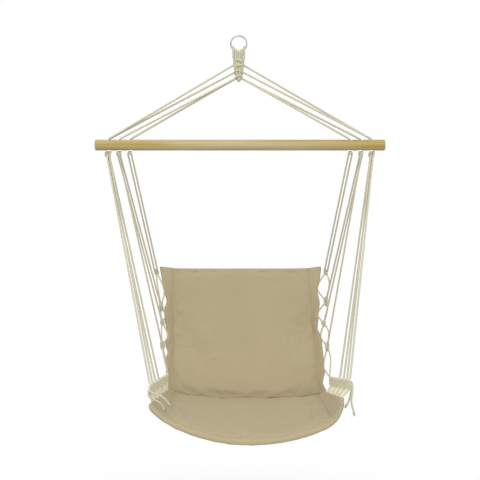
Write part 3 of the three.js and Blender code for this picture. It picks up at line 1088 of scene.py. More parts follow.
@dataclass
class Studio:
    """A plain white studio: the camera level with the back, soft lamps, and a floor under the chair."""

    camera_place: Vector = field(default_factory=lambda: Vector((0.00345, -2.5, -0.4655)))
    focal_pixels: float = 904.7
    picture_pixels: float = 480.0
    axis_row: float = 205.0
    sensor: float = 36.0
    aim: Vector = field(default_factory=lambda: Vector((0.0, 0.0, -0.7)))
    lamps: tuple[tuple[str, Triple, float, float], ...] = (
        ("top_lamp", (-0.4, -1.1, 1.6), 2.2, 33.0),
        ("front_lamp", (0.25, -3.0, 0.1), 1.8, 32.0),
    )
    world_strength: float = 0.68
    floor_z: float = -1.5
    floor_radius: float = 1.3
    floor_colour: Colour = (0.86, 0.86, 0.85)

    def set_camera(self) -> None:
        """Creates the camera at the photograph's viewing angle."""
        data = bpy.data.cameras.new("camera")
        data.sensor_width = self.sensor
        data.lens = self.focal_pixels / self.picture_pixels * self.sensor
        data.shift_y = (self.axis_row - self.picture_pixels / 2.0) / self.picture_pixels
        data.clip_end = 50.0
        camera = bpy.data.objects.new("camera", data)
        camera.location = self.camera_place
        camera.rotation_euler = (math.pi / 2.0, 0.0, 0.0)
        bpy.context.scene.collection.objects.link(camera)
        bpy.context.scene.camera = camera

    def light(self) -> None:
        """Adds soft square lamps aimed at the chair, and a world that is white to the camera and to gloss."""
        for name, place, size, power in self.lamps:
            data = bpy.data.lights.new(name, "AREA")
            data.size = size
            data.energy = power
            lamp = bpy.data.objects.new(name, data)
            lamp.location = place
            lamp.rotation_euler = (self.aim - Vector(place)).to_track_quat("-Z", "Y").to_euler()
            bpy.context.scene.collection.objects.link(lamp)
        world = bpy.data.worlds.new("studio")
        world.use_nodes = True
        bpy.context.scene.world = world
        plan = NodePlan(world.node_tree)
        seen = plan.node("ShaderNodeLightPath", {}, {}, "Is Camera Ray")
        glossy, through = seen.output("Is Glossy Ray"), seen.output("Is Transmission Ray")
        dim, white = (plan.node("ShaderNodeBackground", {}, {"Color": WHITE, "Strength": strength})
                      for strength in (self.world_strength, 1.0))
        plan.end_with("World Output", seen.at_least(glossy).at_least(through), dim, white)

    def lay_floor(self) -> None:
        """Lays a pale round floor that fades into the white background."""
        deselect()
        bpy.ops.mesh.primitive_circle_add(vertices=96, radius=self.floor_radius, fill_type="NGON",
                                          location=(0.0, 0.0, self.floor_z))
        floor = added_piece("floor")
        recipe = Recipe("pale_floor")
        x, y, _ = recipe.parts(recipe.place())
        far = (x * x + y * y).root().step_between(0.35, self.floor_radius * 0.97)
        seen = recipe.node("ShaderNodeLightPath", {}, {}, "Is Camera Ray")
        glow = recipe.node("ShaderNodeEmission", {}, {"Color": WHITE, "Strength": 1.0})
        shader = Varying(recipe, recipe.shader.outputs[0])
        recipe.end_with("Material Output", seen * (0.55 + far * 0.45), shader, glow)
        floor.data.materials.append(recipe.finish(Base_Color=self.floor_colour, Roughness=0.9))


# ---- The pieces ----


@dataclass
class ArmTails:
    """Loose ends of the arm bands' cords, each with a small knot and a frayed tip."""

    shape: SlingShape
    wardrobe: Wardrobe
    cord: float = 0.005
    knot: float = 0.008
    knot_squash: float = 0.86
    knot_cord: float = 0.0031
    fibre: float = 0.0013
    fibres: int = 12
    fibre_turn: float = 2.4
    millimetre_routes: tuple[tuple[tuple[Triple, ...], ...], ...] = (
        (((0, -0.9, -9), (0, -5, -9.5), (-3, -12, -15), (-16, -15, -22), (-30, -14, -30), (-38, -12, -44)),
         ((0, -0.9, -2), (0, -5, -2), (-6, -9, -4), (-24, -10, -10), (-40, -10, -20), (-51, -10, -34))),
        (((0, -0.9, 8), (0, -5, 8), (1.5, -18, 4), (0, -24, -12), (-2, -24, -36), (4.5, -22, -64)),
         ((0, -0.9, -4), (0, -5, -4), (-1, -12, -8), (-4, -14, -24), (-8, -14, -38), (-12.5, -14, -47))))

    def make(self) -> None:
        for side in Side:
            band = self.shape.arm_middle(1.0, side)
            for number, route in enumerate(side.of(self.millimetre_routes), 1):
                name = f"arm_tail_{side.word}_{number}"
                line = smooth_line([band + Vector((side.value * x, y, z)) * 0.001 for x, y, z in route], 0.002)
                tail = self.wardrobe.roped(Rope(self.cord), line, f"{name}_cord", name)
                knot = self.wardrobe.dress(self.make_knot(f"{name}_knot", line), self.wardrobe.cotton)
                length = sum((b - a).length for a, b in zip(line, line[1:]))

    def make_knot(self, name: str, line: Sequence[Vector]) -> bpy.types.Object:
        """Ties the knot at a loose end's tip, with a tuft of fibres under it.

        Args:
            name: the knot's name.
            line: the loose end's line.

        Returns:
            The knot.
        """
        draft = MeshDraft()
        tip = line[-1]
        way = (tip - line[-4]).normalized()
        tied = knot_line(tip, way, self.knot, self.knot * self.knot_squash, self.knot_cord)
        Rope(self.knot_cord, steps_per_lay=8).lay_along(draft, tied)
        fibre = Rope(self.fibre, strands=1, groove_share=0.0, sides_per_strand=6, lay_share=8.0, steps_per_lay=6)
        for number in range(self.fibres):
            out = toward(*square_ways(way), number * self.fibre_turn) * (0.0004 + 0.0001 * number)
            end = tip + way * (0.0066 + 0.0006 * (number % 3)) + out * 1.6
            fibre.lay_along(draft, [tip + way * 0.002 + out, tip + way * 0.004 + out * 1.2, end])
        return draft.finished(name)


@dataclass
class SteelRing:
    """The welded wire ring that hangs on the hook."""

    wardrobe: Wardrobe
    radius: float = 0.022
    wire: float = 0.004
    z: float = -0.020
    weld_angle: float = 2.2
    weld_reaches: tuple[float, ...] = (0.0028, 0.0016)
    weld_swell: float = 1.07

    def make(self) -> None:
        """Models the ring and swells its weld a little."""
        deselect()
        bpy.ops.mesh.primitive_torus_add(
            major_segments=120, minor_segments=20, major_radius=self.radius, minor_radius=self.wire / 2.0,
            location=(0.0, 0.0, self.z), rotation=(math.pi / 2.0, 0.0, 0.0))
        ring = added_piece("welded_ring")
        weld = Vector((math.cos(self.weld_angle), 0.0, math.sin(self.weld_angle))) * self.radius
        weld.z += self.z
        for reach in self.weld_reaches:
            self.swell(ring, weld, reach + self.wire / 2.0)
        ring.data.shade_smooth()
        self.wardrobe.dress(ring, self.wardrobe.steel, "hanging_ring", body=Body.RING)

    def swell(self, ring: bpy.types.Object, centre: Vector, reach: float) -> None:
        """Makes the wire thicker near a point.

        Args:
            ring: the ring.
            centre: the point.
            reach: how far from it the wire swells.
        """
        bpy.context.tool_settings.mesh_select_mode = (True, False, False)
        corners = ring.data.vertices
        for corner in corners:
            corner.select = (corner.co - centre).length < reach
        for part in (*ring.data.edges, *ring.data.polygons):
            part.select = all(corners[number].select for number in part.vertices)
        bpy.ops.object.mode_set(mode="EDIT")
        bpy.ops.transform.resize(value=(self.weld_swell,) * 3, center_override=centre)
        bpy.ops.object.mode_set(mode="OBJECT")


@dataclass
class SpreaderBar:
    """The turned pine bar with its drilled and eased holes."""

    wardrobe: Wardrobe
    length: float = 0.8
    diameter: float = 0.030
    edge: float = 0.003
    z: float = -0.3
    shift: float = 0.0035
    hole: float = 0.014
    hole_xs: dict[str, float] = field(default_factory=lambda: {"inner": 0.304, "middle": 0.334, "outer": 0.364})
    ease_depth: float = 0.0022
    ease_scale: float = 1.5

    def make(self) -> None:
        """Models the bar: a dowel, eased at its ends and drilled."""
        deselect()
        bpy.ops.mesh.primitive_cylinder_add(vertices=72, radius=self.diameter / 2.0, depth=self.length,
                                            location=(self.shift, 0.0, self.z), rotation=(0.0, math.pi / 2.0, 0.0))
        bar = added_piece("pine_bar")
        self.ease_ends(bar)
        for side in Side:
            for x in self.hole_xs.values():
                self.drill(bar, Vector((side.value * x + self.shift, 0.0, self.z)))
        select_only(bar)
        bpy.ops.object.shade_smooth_by_angle(angle=math.radians(32.0))
        self.wardrobe.dress(bar, self.wardrobe.pine, "spreader_bar", body=Body.UPPER)

    def ease_ends(self, bar: bpy.types.Object) -> None:
        """Rounds the edges of the bar's two ends.

        Args:
            bar: the plain dowel.
        """
        mesh = bar.data
        bpy.context.tool_settings.mesh_select_mode = (False, True, False)
        for part in (*mesh.vertices, *mesh.polygons):
            part.select = False
        for edge in mesh.edges:
            ends = [mesh.vertices[v].co.x - self.shift for v in edge.vertices]
            edge.select = min(abs(x) for x in ends) > self.length / 2.0 - 1e-5 and ends[0] * ends[1] > 0
        bpy.ops.object.mode_set(mode="EDIT")
        bpy.ops.mesh.bevel(offset=self.edge, segments=4, profile=0.5, affect="EDGES")
        bpy.ops.object.mode_set(mode="OBJECT")

    def drill(self, bar: bpy.types.Object, centre: Vector) -> None:
        """Drills one hole whose two rims are eased.

        Args:
            bar: the bar.
            centre: the hole's middle.
        """
        deselect()
        bpy.ops.mesh.primitive_cylinder_add(vertices=40, radius=self.hole / 2.0, location=centre,
                                            depth=2.0 * (self.diameter / 2.0 - self.ease_depth))
        tool = added_piece("drill")
        for facing in (1.0, -1.0):
            self.flare(tool, facing, centre)
        modifier = bar.modifiers.new("hole", "BOOLEAN")
        modifier.operation = "DIFFERENCE"
        modifier.solver = "EXACT"
        modifier.object = tool
        apply_modifiers(bar)
        bpy.data.objects.remove(tool)

    def flare(self, tool: bpy.types.Object, facing: float, centre: Vector) -> None:
        """Draws one end of the drill's shape out into a wider mouth.

        Args:
            tool: the drill's shape.
            facing: 1 for its top end and -1 for its foot.
            centre: the hole's middle.
        """
        bpy.context.tool_settings.mesh_select_mode = (False, False, True)
        for part in (*tool.data.vertices, *tool.data.edges):
            part.select = False
        for face in tool.data.polygons:
            face.select = face.normal.z * facing > 0.9
        bpy.ops.object.mode_set(mode="EDIT")
        bpy.ops.mesh.extrude_region_move(TRANSFORM_OT_translate={"value": (0.0, 0.0, facing * self.ease_depth * 2.0)})
        bpy.ops.transform.resize(value=(self.ease_scale, self.ease_scale, 1.0), center_override=centre)
        bpy.ops.object.mode_set(mode="OBJECT")


@dataclass
class Clew:
    """Cords hung over the ring, woven into a narrowing body, and fanned out to the bar."""

    wardrobe: Wardrobe
    ring: SteelRing
    bar: SpreaderBar
    cord: float = 0.0056
    fan_cord: float = 0.0061
    drawn_cord: float = 0.0064
    pass_spacing: float = 0.00585
    pass_turn: float = 1.3
    loop_half: float = 0.0083
    loop_angles: tuple[float, ...] = (0.0, 0.45, 0.9, 1.35)
    leg_lift: float = 0.0012
    leg_wave: float = 0.3
    leg_depth: float = 0.62
    leg_steps: tuple[float, float] = (-0.0004, 0.0011)
    wire_gaps: tuple[float, float] = (0.0003, 0.0013)
    flats: tuple[float, float] = (0.36, 0.74)
    leg_ends: tuple[float, ...] = (0.50, 0.80, 1.0, 1.0, 0.80, 0.50)
    weft_shares: tuple[float, ...] = (0.16, 0.38, 0.60, 0.82)
    weft_lean: float = 0.0022
    plait_top: float = -0.05755
    plait_length: float = 0.064
    core_reach: tuple[float, float] = (-0.04, 1.05)
    core_trim: float = 0.90
    core_bulge: float = 0.05
    halves: tuple[float, float] = (0.016, 0.0085)
    depths: tuple[float, float] = (0.0125, 0.0075)
    line_step: float = 0.0015
    fan: tuple[tuple[float, str], ...] = ((0.33, "outer"), (0.64, "outer"), (0.91, "middle"), (0.91, "inner"))
    fan_y: float = 0.00295
    fan_root: float = 0.012
    bend_reach: float = 0.009
    bend_rise: float = 0.0009

    def half(self, share: float) -> float:
        """Half the woven body's width."""
        return mix(*self.halves, share)

    def depth(self, share: float) -> float:
        """Half the woven body's depth."""
        return mix(*self.depths, share)

    def z(self, share: float) -> float:
        """The height of a share of the woven body."""
        return self.plait_top - share * self.plait_length

    def rank(self, number: int) -> float:
        """A pass's place from the middle one, counted in passes."""
        return number - (len(self.leg_ends) - 1) / 2.0

    def make(self) -> None:
        """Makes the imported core, the loops that are woven over it, and the eight cords to the bar."""
        draft = MeshDraft()
        levels = [mix(*self.core_reach, share) for share in shares(14)]
        rings = [[self.core_point(share, angle) for angle in angles(24)] for share in levels]
        draft.add_rings(rings, [share * self.plait_length for share in levels])
        # The clew's cords take the darker copy of the cotton: painted shade.
        coat = self.wardrobe.clew_cotton
        self.wardrobe.dress(draft.finished("clew_core"), coat, "clew_plait", body=Body.UPPER)
        draft = MeshDraft()
        for number in range(len(self.leg_ends)):
            self.hang_loop(draft, number)
        for level, share in enumerate(self.weft_shares):
            self.lay_wefts(draft, share, level)
        self.wardrobe.dress(draft.finished("clew_woven_cords"), coat, "clew_ring_loops", body=Body.UPPER)
        for side in Side:
            for number in range(len(self.fan)):
                name = f"clew_cord_{side.word}_{number + 1}"
                self.wardrobe.roped(Rope(self.fan_cord), self.fan_line(side, number), f"{name}_rope", name,
                                    0.7 * number, Body.UPPER)

    def core_point(self, share: float, angle: float) -> Vector:
        """A point of the core's skin.

        Args:
            share: how far down the body it is.
            angle: its angle round the body.

        Returns:
            The point.
        """
        trim = self.core_trim * (1.0 - 0.8 * eased(share, 0.92, 1.08)) * eased(share, -0.2, 0.1)
        bulge = 1.0 + self.core_bulge * math.cos(len(self.leg_ends) * angle)
        return Vector((-self.half(share) * trim * bulge * math.cos(angle),
                       self.depth(share) * trim * bulge * math.sin(angle), self.z(share)))

    def leg_x(self, number: int, share: float) -> float:
        """Where a pass of cord lies across the woven body."""
        drawn_in = mix(1.0, 0.76, eased(share, -0.1, 0.32)) * mix(1.0, 0.72, eased(share, 0.3, 1.0))
        return self.rank(number) * self.pass_spacing * drawn_in

    def face_y(self, number: int, share: float) -> float:
        """How far the centre of a pass's leg lies from the body's middle plane."""
        return self.depth(share) * self.leg_depth + self.leg_steps[number % 2]

    def hang_loop(self, draft: MeshDraft, number: int) -> None:
        """Hangs one pass of cord over the ring's wire, pressed flat where it bears on it.

        Args:
            draft: the mesh in the making.
            number: which pass, from the left.
        """
        x = self.leg_x(number, -1.0)
        climb = math.sqrt(self.ring.radius ** 2 - x ** 2)
        slope = (self.ring.radius / climb) ** 1.3
        outer = (abs(self.rank(number)) - 0.5) / 2.0
        wire_z = self.ring.z - climb
        top = wire_z + (self.ring.wire / 2.0 + self.drawn_cord / 2.0 + mix(*self.wire_gaps, outer)) * slope
        first = len(draft.corners)
        for facing in (-1.0, 1.0):
            self.lay_leg(draft, number, facing, top)
        inner = top - wire_z - self.drawn_cord / 2.0
        for corner in draft.corners[first:]:
            away = math.hypot(corner.y, corner.z - wire_z)
            share = eased(corner.z - wire_z, -0.004, 0.003)
            if away > inner and share > 0.0:
                scale = mix(1.0, (inner + (away - inner) * mix(*self.flats, outer)) / away, share)
                corner.y *= scale
                corner.z = wire_z + (corner.z - wire_z) * scale

    def lay_leg(self, draft: MeshDraft, number: int, facing: float, top: float) -> None:
        """Lays one leg of a pass, from the top of the wire down into the body and out at its side or foot.

        Args:
            draft: the mesh in the making.
            number: which pass, from the left.
            facing: -1 for the front leg and 1 for the back one.
            top: the height of the pass's centre over the wire.
        """
        x, half, end = self.leg_x(number, -1.0), self.loop_half, self.leg_ends[number]
        controls = [Vector((x, facing * half * math.sin(angle), top - half * (1.0 - math.cos(angle))))
                    for angle in self.loop_angles]
        controls.append(Vector((self.leg_x(number, -0.05), facing * half, min(top - half * 1.5, self.z(-0.05)))))
        for share in shares(10)[1:]:
            if share <= end + 0.01:
                lift = self.leg_lift * math.cos(TURN * (share - 0.05) / self.leg_wave) * (1 if number % 2 else -1)
                controls.append(Vector((self.leg_x(number, share), facing * (self.face_y(number, share) + lift),
                                        self.z(share))))
        if end < 0.9:
            outward = math.copysign(self.half(end), self.rank(number))
            controls.append(Vector((outward * 0.72, facing * self.depth(end) * 0.55, self.z(end + 0.08))))
            controls.append(Vector((outward * 0.9, facing * 0.0022, self.z(end + 0.13))))
        else:
            controls.append(Vector((self.leg_x(number, 1.0) * 0.7, facing * self.depth(1.0) * 0.34, self.z(1.03))))
        line = smooth_line(controls, self.line_step)
        Rope(self.drawn_cord, groove_share=0.1).lay_along(draft, line, number * self.pass_turn + facing)

    def lay_wefts(self, draft: MeshDraft, share: float, level: int) -> None:
        """Draws two cords across the body from side to side, one before and one behind.

        Args:
            draft: the mesh in the making.
            share: how far down the body they cross.
            level: which crossing it is, from the top.
        """
        half, depth = self.half(share + 0.1) * 0.92, self.face_y(1, share) + self.cord * 0.42
        stops = ((1.0, 0.0, 0.12, 0.6), (0.92, depth * 0.75, 0.03, 1.0), (0.45, depth + 0.0006, 0.0, 0.5))
        for facing in (-1.0, 1.0):
            lean = self.weft_lean * (1.0 if (level + (facing > 0)) % 2 else -1.0)
            left, right = ([Vector((hand * half * x, facing * y, self.z(share + low) + hand * lean * tilt))
                            for x, y, low, tilt in stops] for hand in (-1.0, 1.0))
            Rope(self.cord).lay_along(draft, smooth_line(left + right[::-1], self.line_step), level * 0.9)

    def fan_line(self, side: Side, number: int) -> list[Vector]:
        """The line of one cord from the woven body over the bar's edge into its hole.

        Args:
            side: which side of the chair.
            number: which cord of that side, the outermost first.

        Returns:
            The line's points.
        """
        share, hole = self.fan[number]
        y = side.value * (self.fan_y if number % 2 == 0 else -self.fan_y)
        x = side.value * self.bar.hole_xs[hole] + self.bar.shift
        bar_top, bar_foot = self.bar.z + self.bar.diameter / 2.0, self.bar.z - self.bar.diameter / 2.0
        bend_top = Vector((x, y, bar_top + self.bend_rise))
        exit_half = self.half(share) * math.sqrt(1.0 - (y / self.depth(share)) ** 2)
        leave = Vector((side.value * exit_half, y, self.z(share)))
        way = (bend_top - leave).normalized()
        bend = bend_top - way * self.bend_reach
        in_bar = Vector((x, y, bar_top - self.bend_reach / 3.0))
        foot = Vector((x, y, bar_foot + self.cord / 2.0))
        return [leave - way * self.fan_root, bend, *curved(bend, bend_top, in_bar, 6), in_bar, foot]


@dataclass
class BarKnots:
    """Stopper knots under the bar, larger where more cords meet."""

    wardrobe: Wardrobe
    bar: SpreaderBar
    gap: float = 0.0003
    knot_cord: float = 0.0056
    core_cord: float = 0.0052
    tilt: float = 0.12
    sizes: tuple[tuple[str, float, float, float], ...] = (
        ("inner", 0.0140, 0.0110, 3.0), ("middle", 0.0172, 0.0140, 3.6), ("outer", 0.0212, 0.0185, 3.0))

    def make(self) -> None:
        """Ties the six knots."""
        for side in Side:
            for hole, width, height, turn in self.sizes:
                name = f"bar_knot_{side.word}_{hole}"
                foot = self.bar.z - self.bar.diameter / 2.0 - self.gap
                middle = Vector((side.value * self.bar.hole_xs[hole] + self.bar.shift, 0.0, foot - height / 2.0))
                angle = turn + side.value
                axis = Vector((self.tilt * math.sin(angle), self.tilt * math.cos(angle), 1.0))
                draft = MeshDraft()
                Rope(self.knot_cord).lay_along(draft, knot_line(middle, axis, width, height, self.knot_cord), angle)
                core = [middle + UP * (height * 0.42), middle, middle - UP * (height * 0.55)]
                Rope(self.core_cord).lay_along(draft, core)
                self.wardrobe.dress(draft.finished(f"{name}_tied"), self.wardrobe.cotton, name)


@dataclass
class HangingCords:
    """Eighteen cords from the bar's holes to the lacing and the arm bands."""

    shape: SlingShape
    wardrobe: Wardrobe
    bar: SpreaderBar
    drawn_cord: float = 0.0053
    pitch: float = 0.006
    inner_pitch: float = 0.009
    start_z: float = -0.3303
    run_in: float = 0.011
    places: tuple[tuple[int, int], ...] = ((-1, 1), (1, 1), (-1, -1), (1, -1))
    counts: dict[str, int] = field(default_factory=lambda: {"inner": 2, "middle": 3, "outer": 4})
    arm_shares: tuple[float, ...] = (0.5, 0.68, 0.83, 0.96)

    def make(self) -> None:
        """Lays every cord along its own line."""
        for side in Side:
            for hole, count in self.counts.items():
                pitch = self.inner_pitch if hole == "inner" else self.pitch
                for number, (out, behind) in enumerate(self.places[:count]):
                    name = f"hang_cord_{side.word}_{hole}_{number + 1}"
                    spread = 0 if hole == "middle" and number == 2 else out
                    x = side.value * (self.bar.hole_xs[hole] + spread * pitch / 2.0) + self.bar.shift
                    start = Vector((x, behind * self.pitch / 2.0, self.start_z))
                    line = self.goals(side, hole, number, out)
                    way = (line[0] - start).normalized()
                    line = [start - way * self.run_in, start, *line]
                    self.wardrobe.roped(Rope(self.drawn_cord), line, f"{name}_rope", name, number * 1.1)

    def goals(self, side: Side, hole: str, number: int, out: int) -> list[Vector]:
        """Where one cord is tied to the sling.

        Args:
            side: which side of the chair.
            hole: the bar's hole that it comes from.
            number: which cord of that hole.
            out: -1 or 1 for its place across the hole.

        Returns:
            The knot's place, or the way down through an arm band.
        """
        if hole == "outer":
            top = self.shape.arm_middle(self.arm_shares[number], side) + UP * (self.shape.arm_height / 2.0)
            return [top, top - UP * (self.shape.arm_height * 0.5)]
        goal = self.shape.lace_knot(0 if hole == "inner" else number + 1, side)
        if hole == "inner":
            goal.x += side.value * out * self.inner_pitch / 2.0
        return [goal]


@dataclass
class SideLacing:
    """The cord laced down each side of the back, with wrapped knots and loops between them."""

    shape: SlingShape
    wardrobe: Wardrobe
    cord: float = 0.005
    thin: float = 0.0042
    wrap: float = 0.0046
    wrap_radius: float = 0.0044
    wrap_pitch: float = 0.0052
    core: float = 0.006
    core_end: float = 0.003
    knot_lengths: tuple[float, ...] = (0.014, 0.024, 0.013, 0.022)
    bows: tuple[tuple[float, float], ...] = ((0.002, 0.002), (0.009, 0.006))
    bow_back: float = 0.003
    last_share: float = 0.8
    hem_bite: float = 0.0015
    line_step: float = 0.002

    def make(self) -> None:
        """Makes the lacing of both sides, which ends on the arm band."""
        for side in Side:
            draft = MeshDraft()
            band = self.shape.arm_middle(0.0, side)
            end = Vector((band.x, band.y + self.cord, band.z + self.shape.arm_height / 2.0 - self.cord))
            stops = [*(self.shape.lace_knot(number, side) for number in range(4)), end]
            for number, (start, goal) in enumerate(zip(stops, stops[1:])):
                self.lay_pair(draft, side, number, start, goal)
                self.tie(draft, side, number, start, goal)
            name = f"side_lace_{side.word}"
            self.wardrobe.dress(draft.finished(f"{name}_cord"), self.wardrobe.cotton, name)

    def lay_pair(self, draft: MeshDraft, side: Side, number: int, start: Vector, goal: Vector) -> None:
        """Lays the cord that goes in to the hem between two knots, and the loop that bows outwards.

        Args:
            draft: the mesh in the making.
            side: which side of the chair.
            number: which pair of knots, from the top.
            start: the upper knot.
            goal: the lower knot.
        """
        knots = side.of(self.shape.knot_shares)
        share = self.last_share if number == 3 else (knots[number] + knots[number + 1]) / 2.0
        hem = self.shape.hem(self.shape.back, share, side)
        touch = hem.edge - hem.across * (self.shape.scallop(self.shape.back, share, side) + self.hem_bite)
        Rope(self.cord).lay_along(draft, smooth_line([start, touch, goal], self.line_step), 0.9 * number)
        out = Vector((side.value * side.of(self.bows)[number % 2], self.bow_back, 0.0))
        quarter, middle, late = (start.lerp(goal, t) for t in (0.28, 0.55, 0.82))
        loop = [start, quarter + out * 1.1, middle + out, late + out * 0.35, goal]
        Rope(self.thin).lay_along(draft, smooth_line(loop, self.line_step), 1.7 * number)

    def tie(self, draft: MeshDraft, side: Side, number: int, middle: Vector, goal: Vector) -> None:
        """Wraps one knot, long or short as in the photograph.

        Args:
            draft: the mesh in the making.
            side: which side of the chair.
            number: which knot, from the top.
            middle: the knot's centre.
            goal: the next knot, towards which it leans.
        """
        length = self.knot_lengths[number]
        lean = ((goal - middle).normalized() + UP * -1.2).normalized()
        start, end = middle - lean * length / 2.0, middle + lean * length / 2.0
        turns = max(2.0, length / self.wrap_pitch)
        coil = coil_line(start, end, self.wrap_radius, turns, 0.8 * number + side.value, crossed=True)
        Rope(self.wrap).lay_along(draft, coil)
        Rope(self.core).lay_along(draft, [start - lean * self.core_end, middle, end + lean * self.core_end])


@dataclass
class ArmBands:
    """Woven bands over the seat's side edges, each on five short strands."""

    shape: SlingShape
    wardrobe: Wardrobe
    row_cord: float = 0.0040
    edge_cord: float = 0.0050
    post_cord: float = 0.0034
    end_cord: float = 0.0056
    strand_cord: float = 0.005
    rows: int = 5
    post_spacing: float = 0.0085
    weave: float = 0.0017
    post_lean: float = 0.0022
    overhang: float = 0.001
    fill_share: float = 0.44
    fill_depth: float = 0.0016
    line_step: float = 0.0018
    strand_shares: tuple[float, ...] = (0.1, 0.3, 0.5, 0.7, 0.9)
    strand_bites: tuple[float, float] = (0.003, 0.002)
    wrap_cord: float = 0.0044
    wrap_pitch: float = 0.0036
    wrap_radius: tuple[float, float] = (0.0046, 0.0028)

    def make(self) -> None:
        """Weaves both bands."""
        for side in Side:
            name = f"arm_band_{side.word}"
            draft = MeshDraft()
            self.fill_band(draft, side)
            self.weave_band(draft, side)
            self.hang_strands(draft, side)
            # The bands take the lighter copy of the cotton: painted light over the weave's shade.
            self.wardrobe.dress(draft.finished(f"{name}_weave"), self.wardrobe.band_cotton, name)

    def spot(self, side: Side, share: float, rise: float, out: float) -> Vector:
        """A place in a band.

        Args:
            side: which band.
            share: the share along it from the back.
            rise: how far over its middle line it lies.
            out: how far out of its plane it lies.

        Returns:
            The place.
        """
        way = self.shape.arm_middle(1.0, side) - self.shape.arm_middle(0.0, side)
        return self.shape.arm_middle(share, side) + UP * rise + way.cross(UP).normalized() * out

    def fill_band(self, draft: MeshDraft, side: Side) -> None:
        """Lays the flat run of filler cords that the weave covers.

        Args:
            draft: the mesh in the making.
            side: which band.
        """
        half = self.shape.arm_height * self.fill_share
        levels = [mix(0.01, 0.99, share) for share in shares(24)]
        rings = [[self.spot(side, share, half * math.sin(angle), self.fill_depth * math.cos(angle))
                  for angle in angles(16)] for share in levels]
        draft.add_rings(rings, [share * 0.3 for share in levels])

    def weave_band(self, draft: MeshDraft, side: Side) -> None:
        """Weaves rows of cord over and under the posts, between two edge cords.

        Args:
            draft: the mesh in the making.
            side: which band.
        """
        length = (self.shape.arm_middle(1.0, side) - self.shape.arm_middle(0.0, side)).length
        posts = round(length / self.post_spacing)
        height = self.shape.arm_height
        inner = height - 2.0 * self.edge_cord
        rises = [-inner / 2.0 + inner * (row + 0.5) / self.rows for row in range(self.rows)]
        foot, head = -(height - self.edge_cord) / 2.0, (height - self.edge_cord) / 2.0
        thin = Rope(self.row_cord, sides_per_strand=3, steps_per_lay=7)
        for row, rise in enumerate(rises):
            line = [self.spot(side, post / posts, rise, self.weave * (1 if (row + post) % 2 else -1))
                    for post in range(posts + 1)]
            thin.lay_along(draft, smooth_line(line, self.line_step), row)
        for rise in (foot, head):
            Rope(self.edge_cord).lay_along(draft, [self.spot(side, share, rise, 0.0) for share in shares(12)])
        upright = Rope(self.post_cord, sides_per_strand=3, steps_per_lay=7)
        for post, share in enumerate(shares(posts)):
            lean = self.post_lean * (1 if post % 2 else -1)
            line = [self.spot(side, share, rise, -self.weave * 1.05 * (1 if (row + post) % 2 else -1))
                    for row, rise in enumerate(rises)]
            line = [self.spot(side, share, foot - self.overhang, lean), *line,
                    self.spot(side, share, head + self.overhang, -lean)]
            upright.lay_along(draft, smooth_line(line, self.line_step), post)
        for share in (0.0, 1.0):
            line = [self.spot(side, share, rise, 0.0) for rise in (foot - self.overhang, 0.0, head + self.overhang)]
            Rope(self.end_cord).lay_along(draft, line)

    def hang_strands(self, draft: MeshDraft, side: Side) -> None:
        """Ties the band to the hem under it, with cord wound round each strand.

        Args:
            draft: the mesh in the making.
            side: which band.
        """
        for number, share in enumerate(self.strand_shares):
            middle, foot = self.shape.arm_middle(share, side), self.shape.arm_foot(share, side)
            way = (middle - foot).normalized()
            low = foot + way * (self.shape.hem_thickness / 2.0 - self.strand_bites[1])
            high = middle - UP * (self.shape.arm_height / 2.0 - self.strand_bites[0])
            Rope(self.strand_cord).lay_along(draft, [high, high.lerp(low, 0.5), low], number)
            turns = (high - low).length / self.wrap_pitch / 2.0
            for phase in (0.0, math.pi):
                ring = coil_line(high + way * 0.002, low, side.of(self.wrap_radius), turns, number + phase)
                Rope(self.wrap_cord, sides_per_strand=3).lay_along(draft, ring)


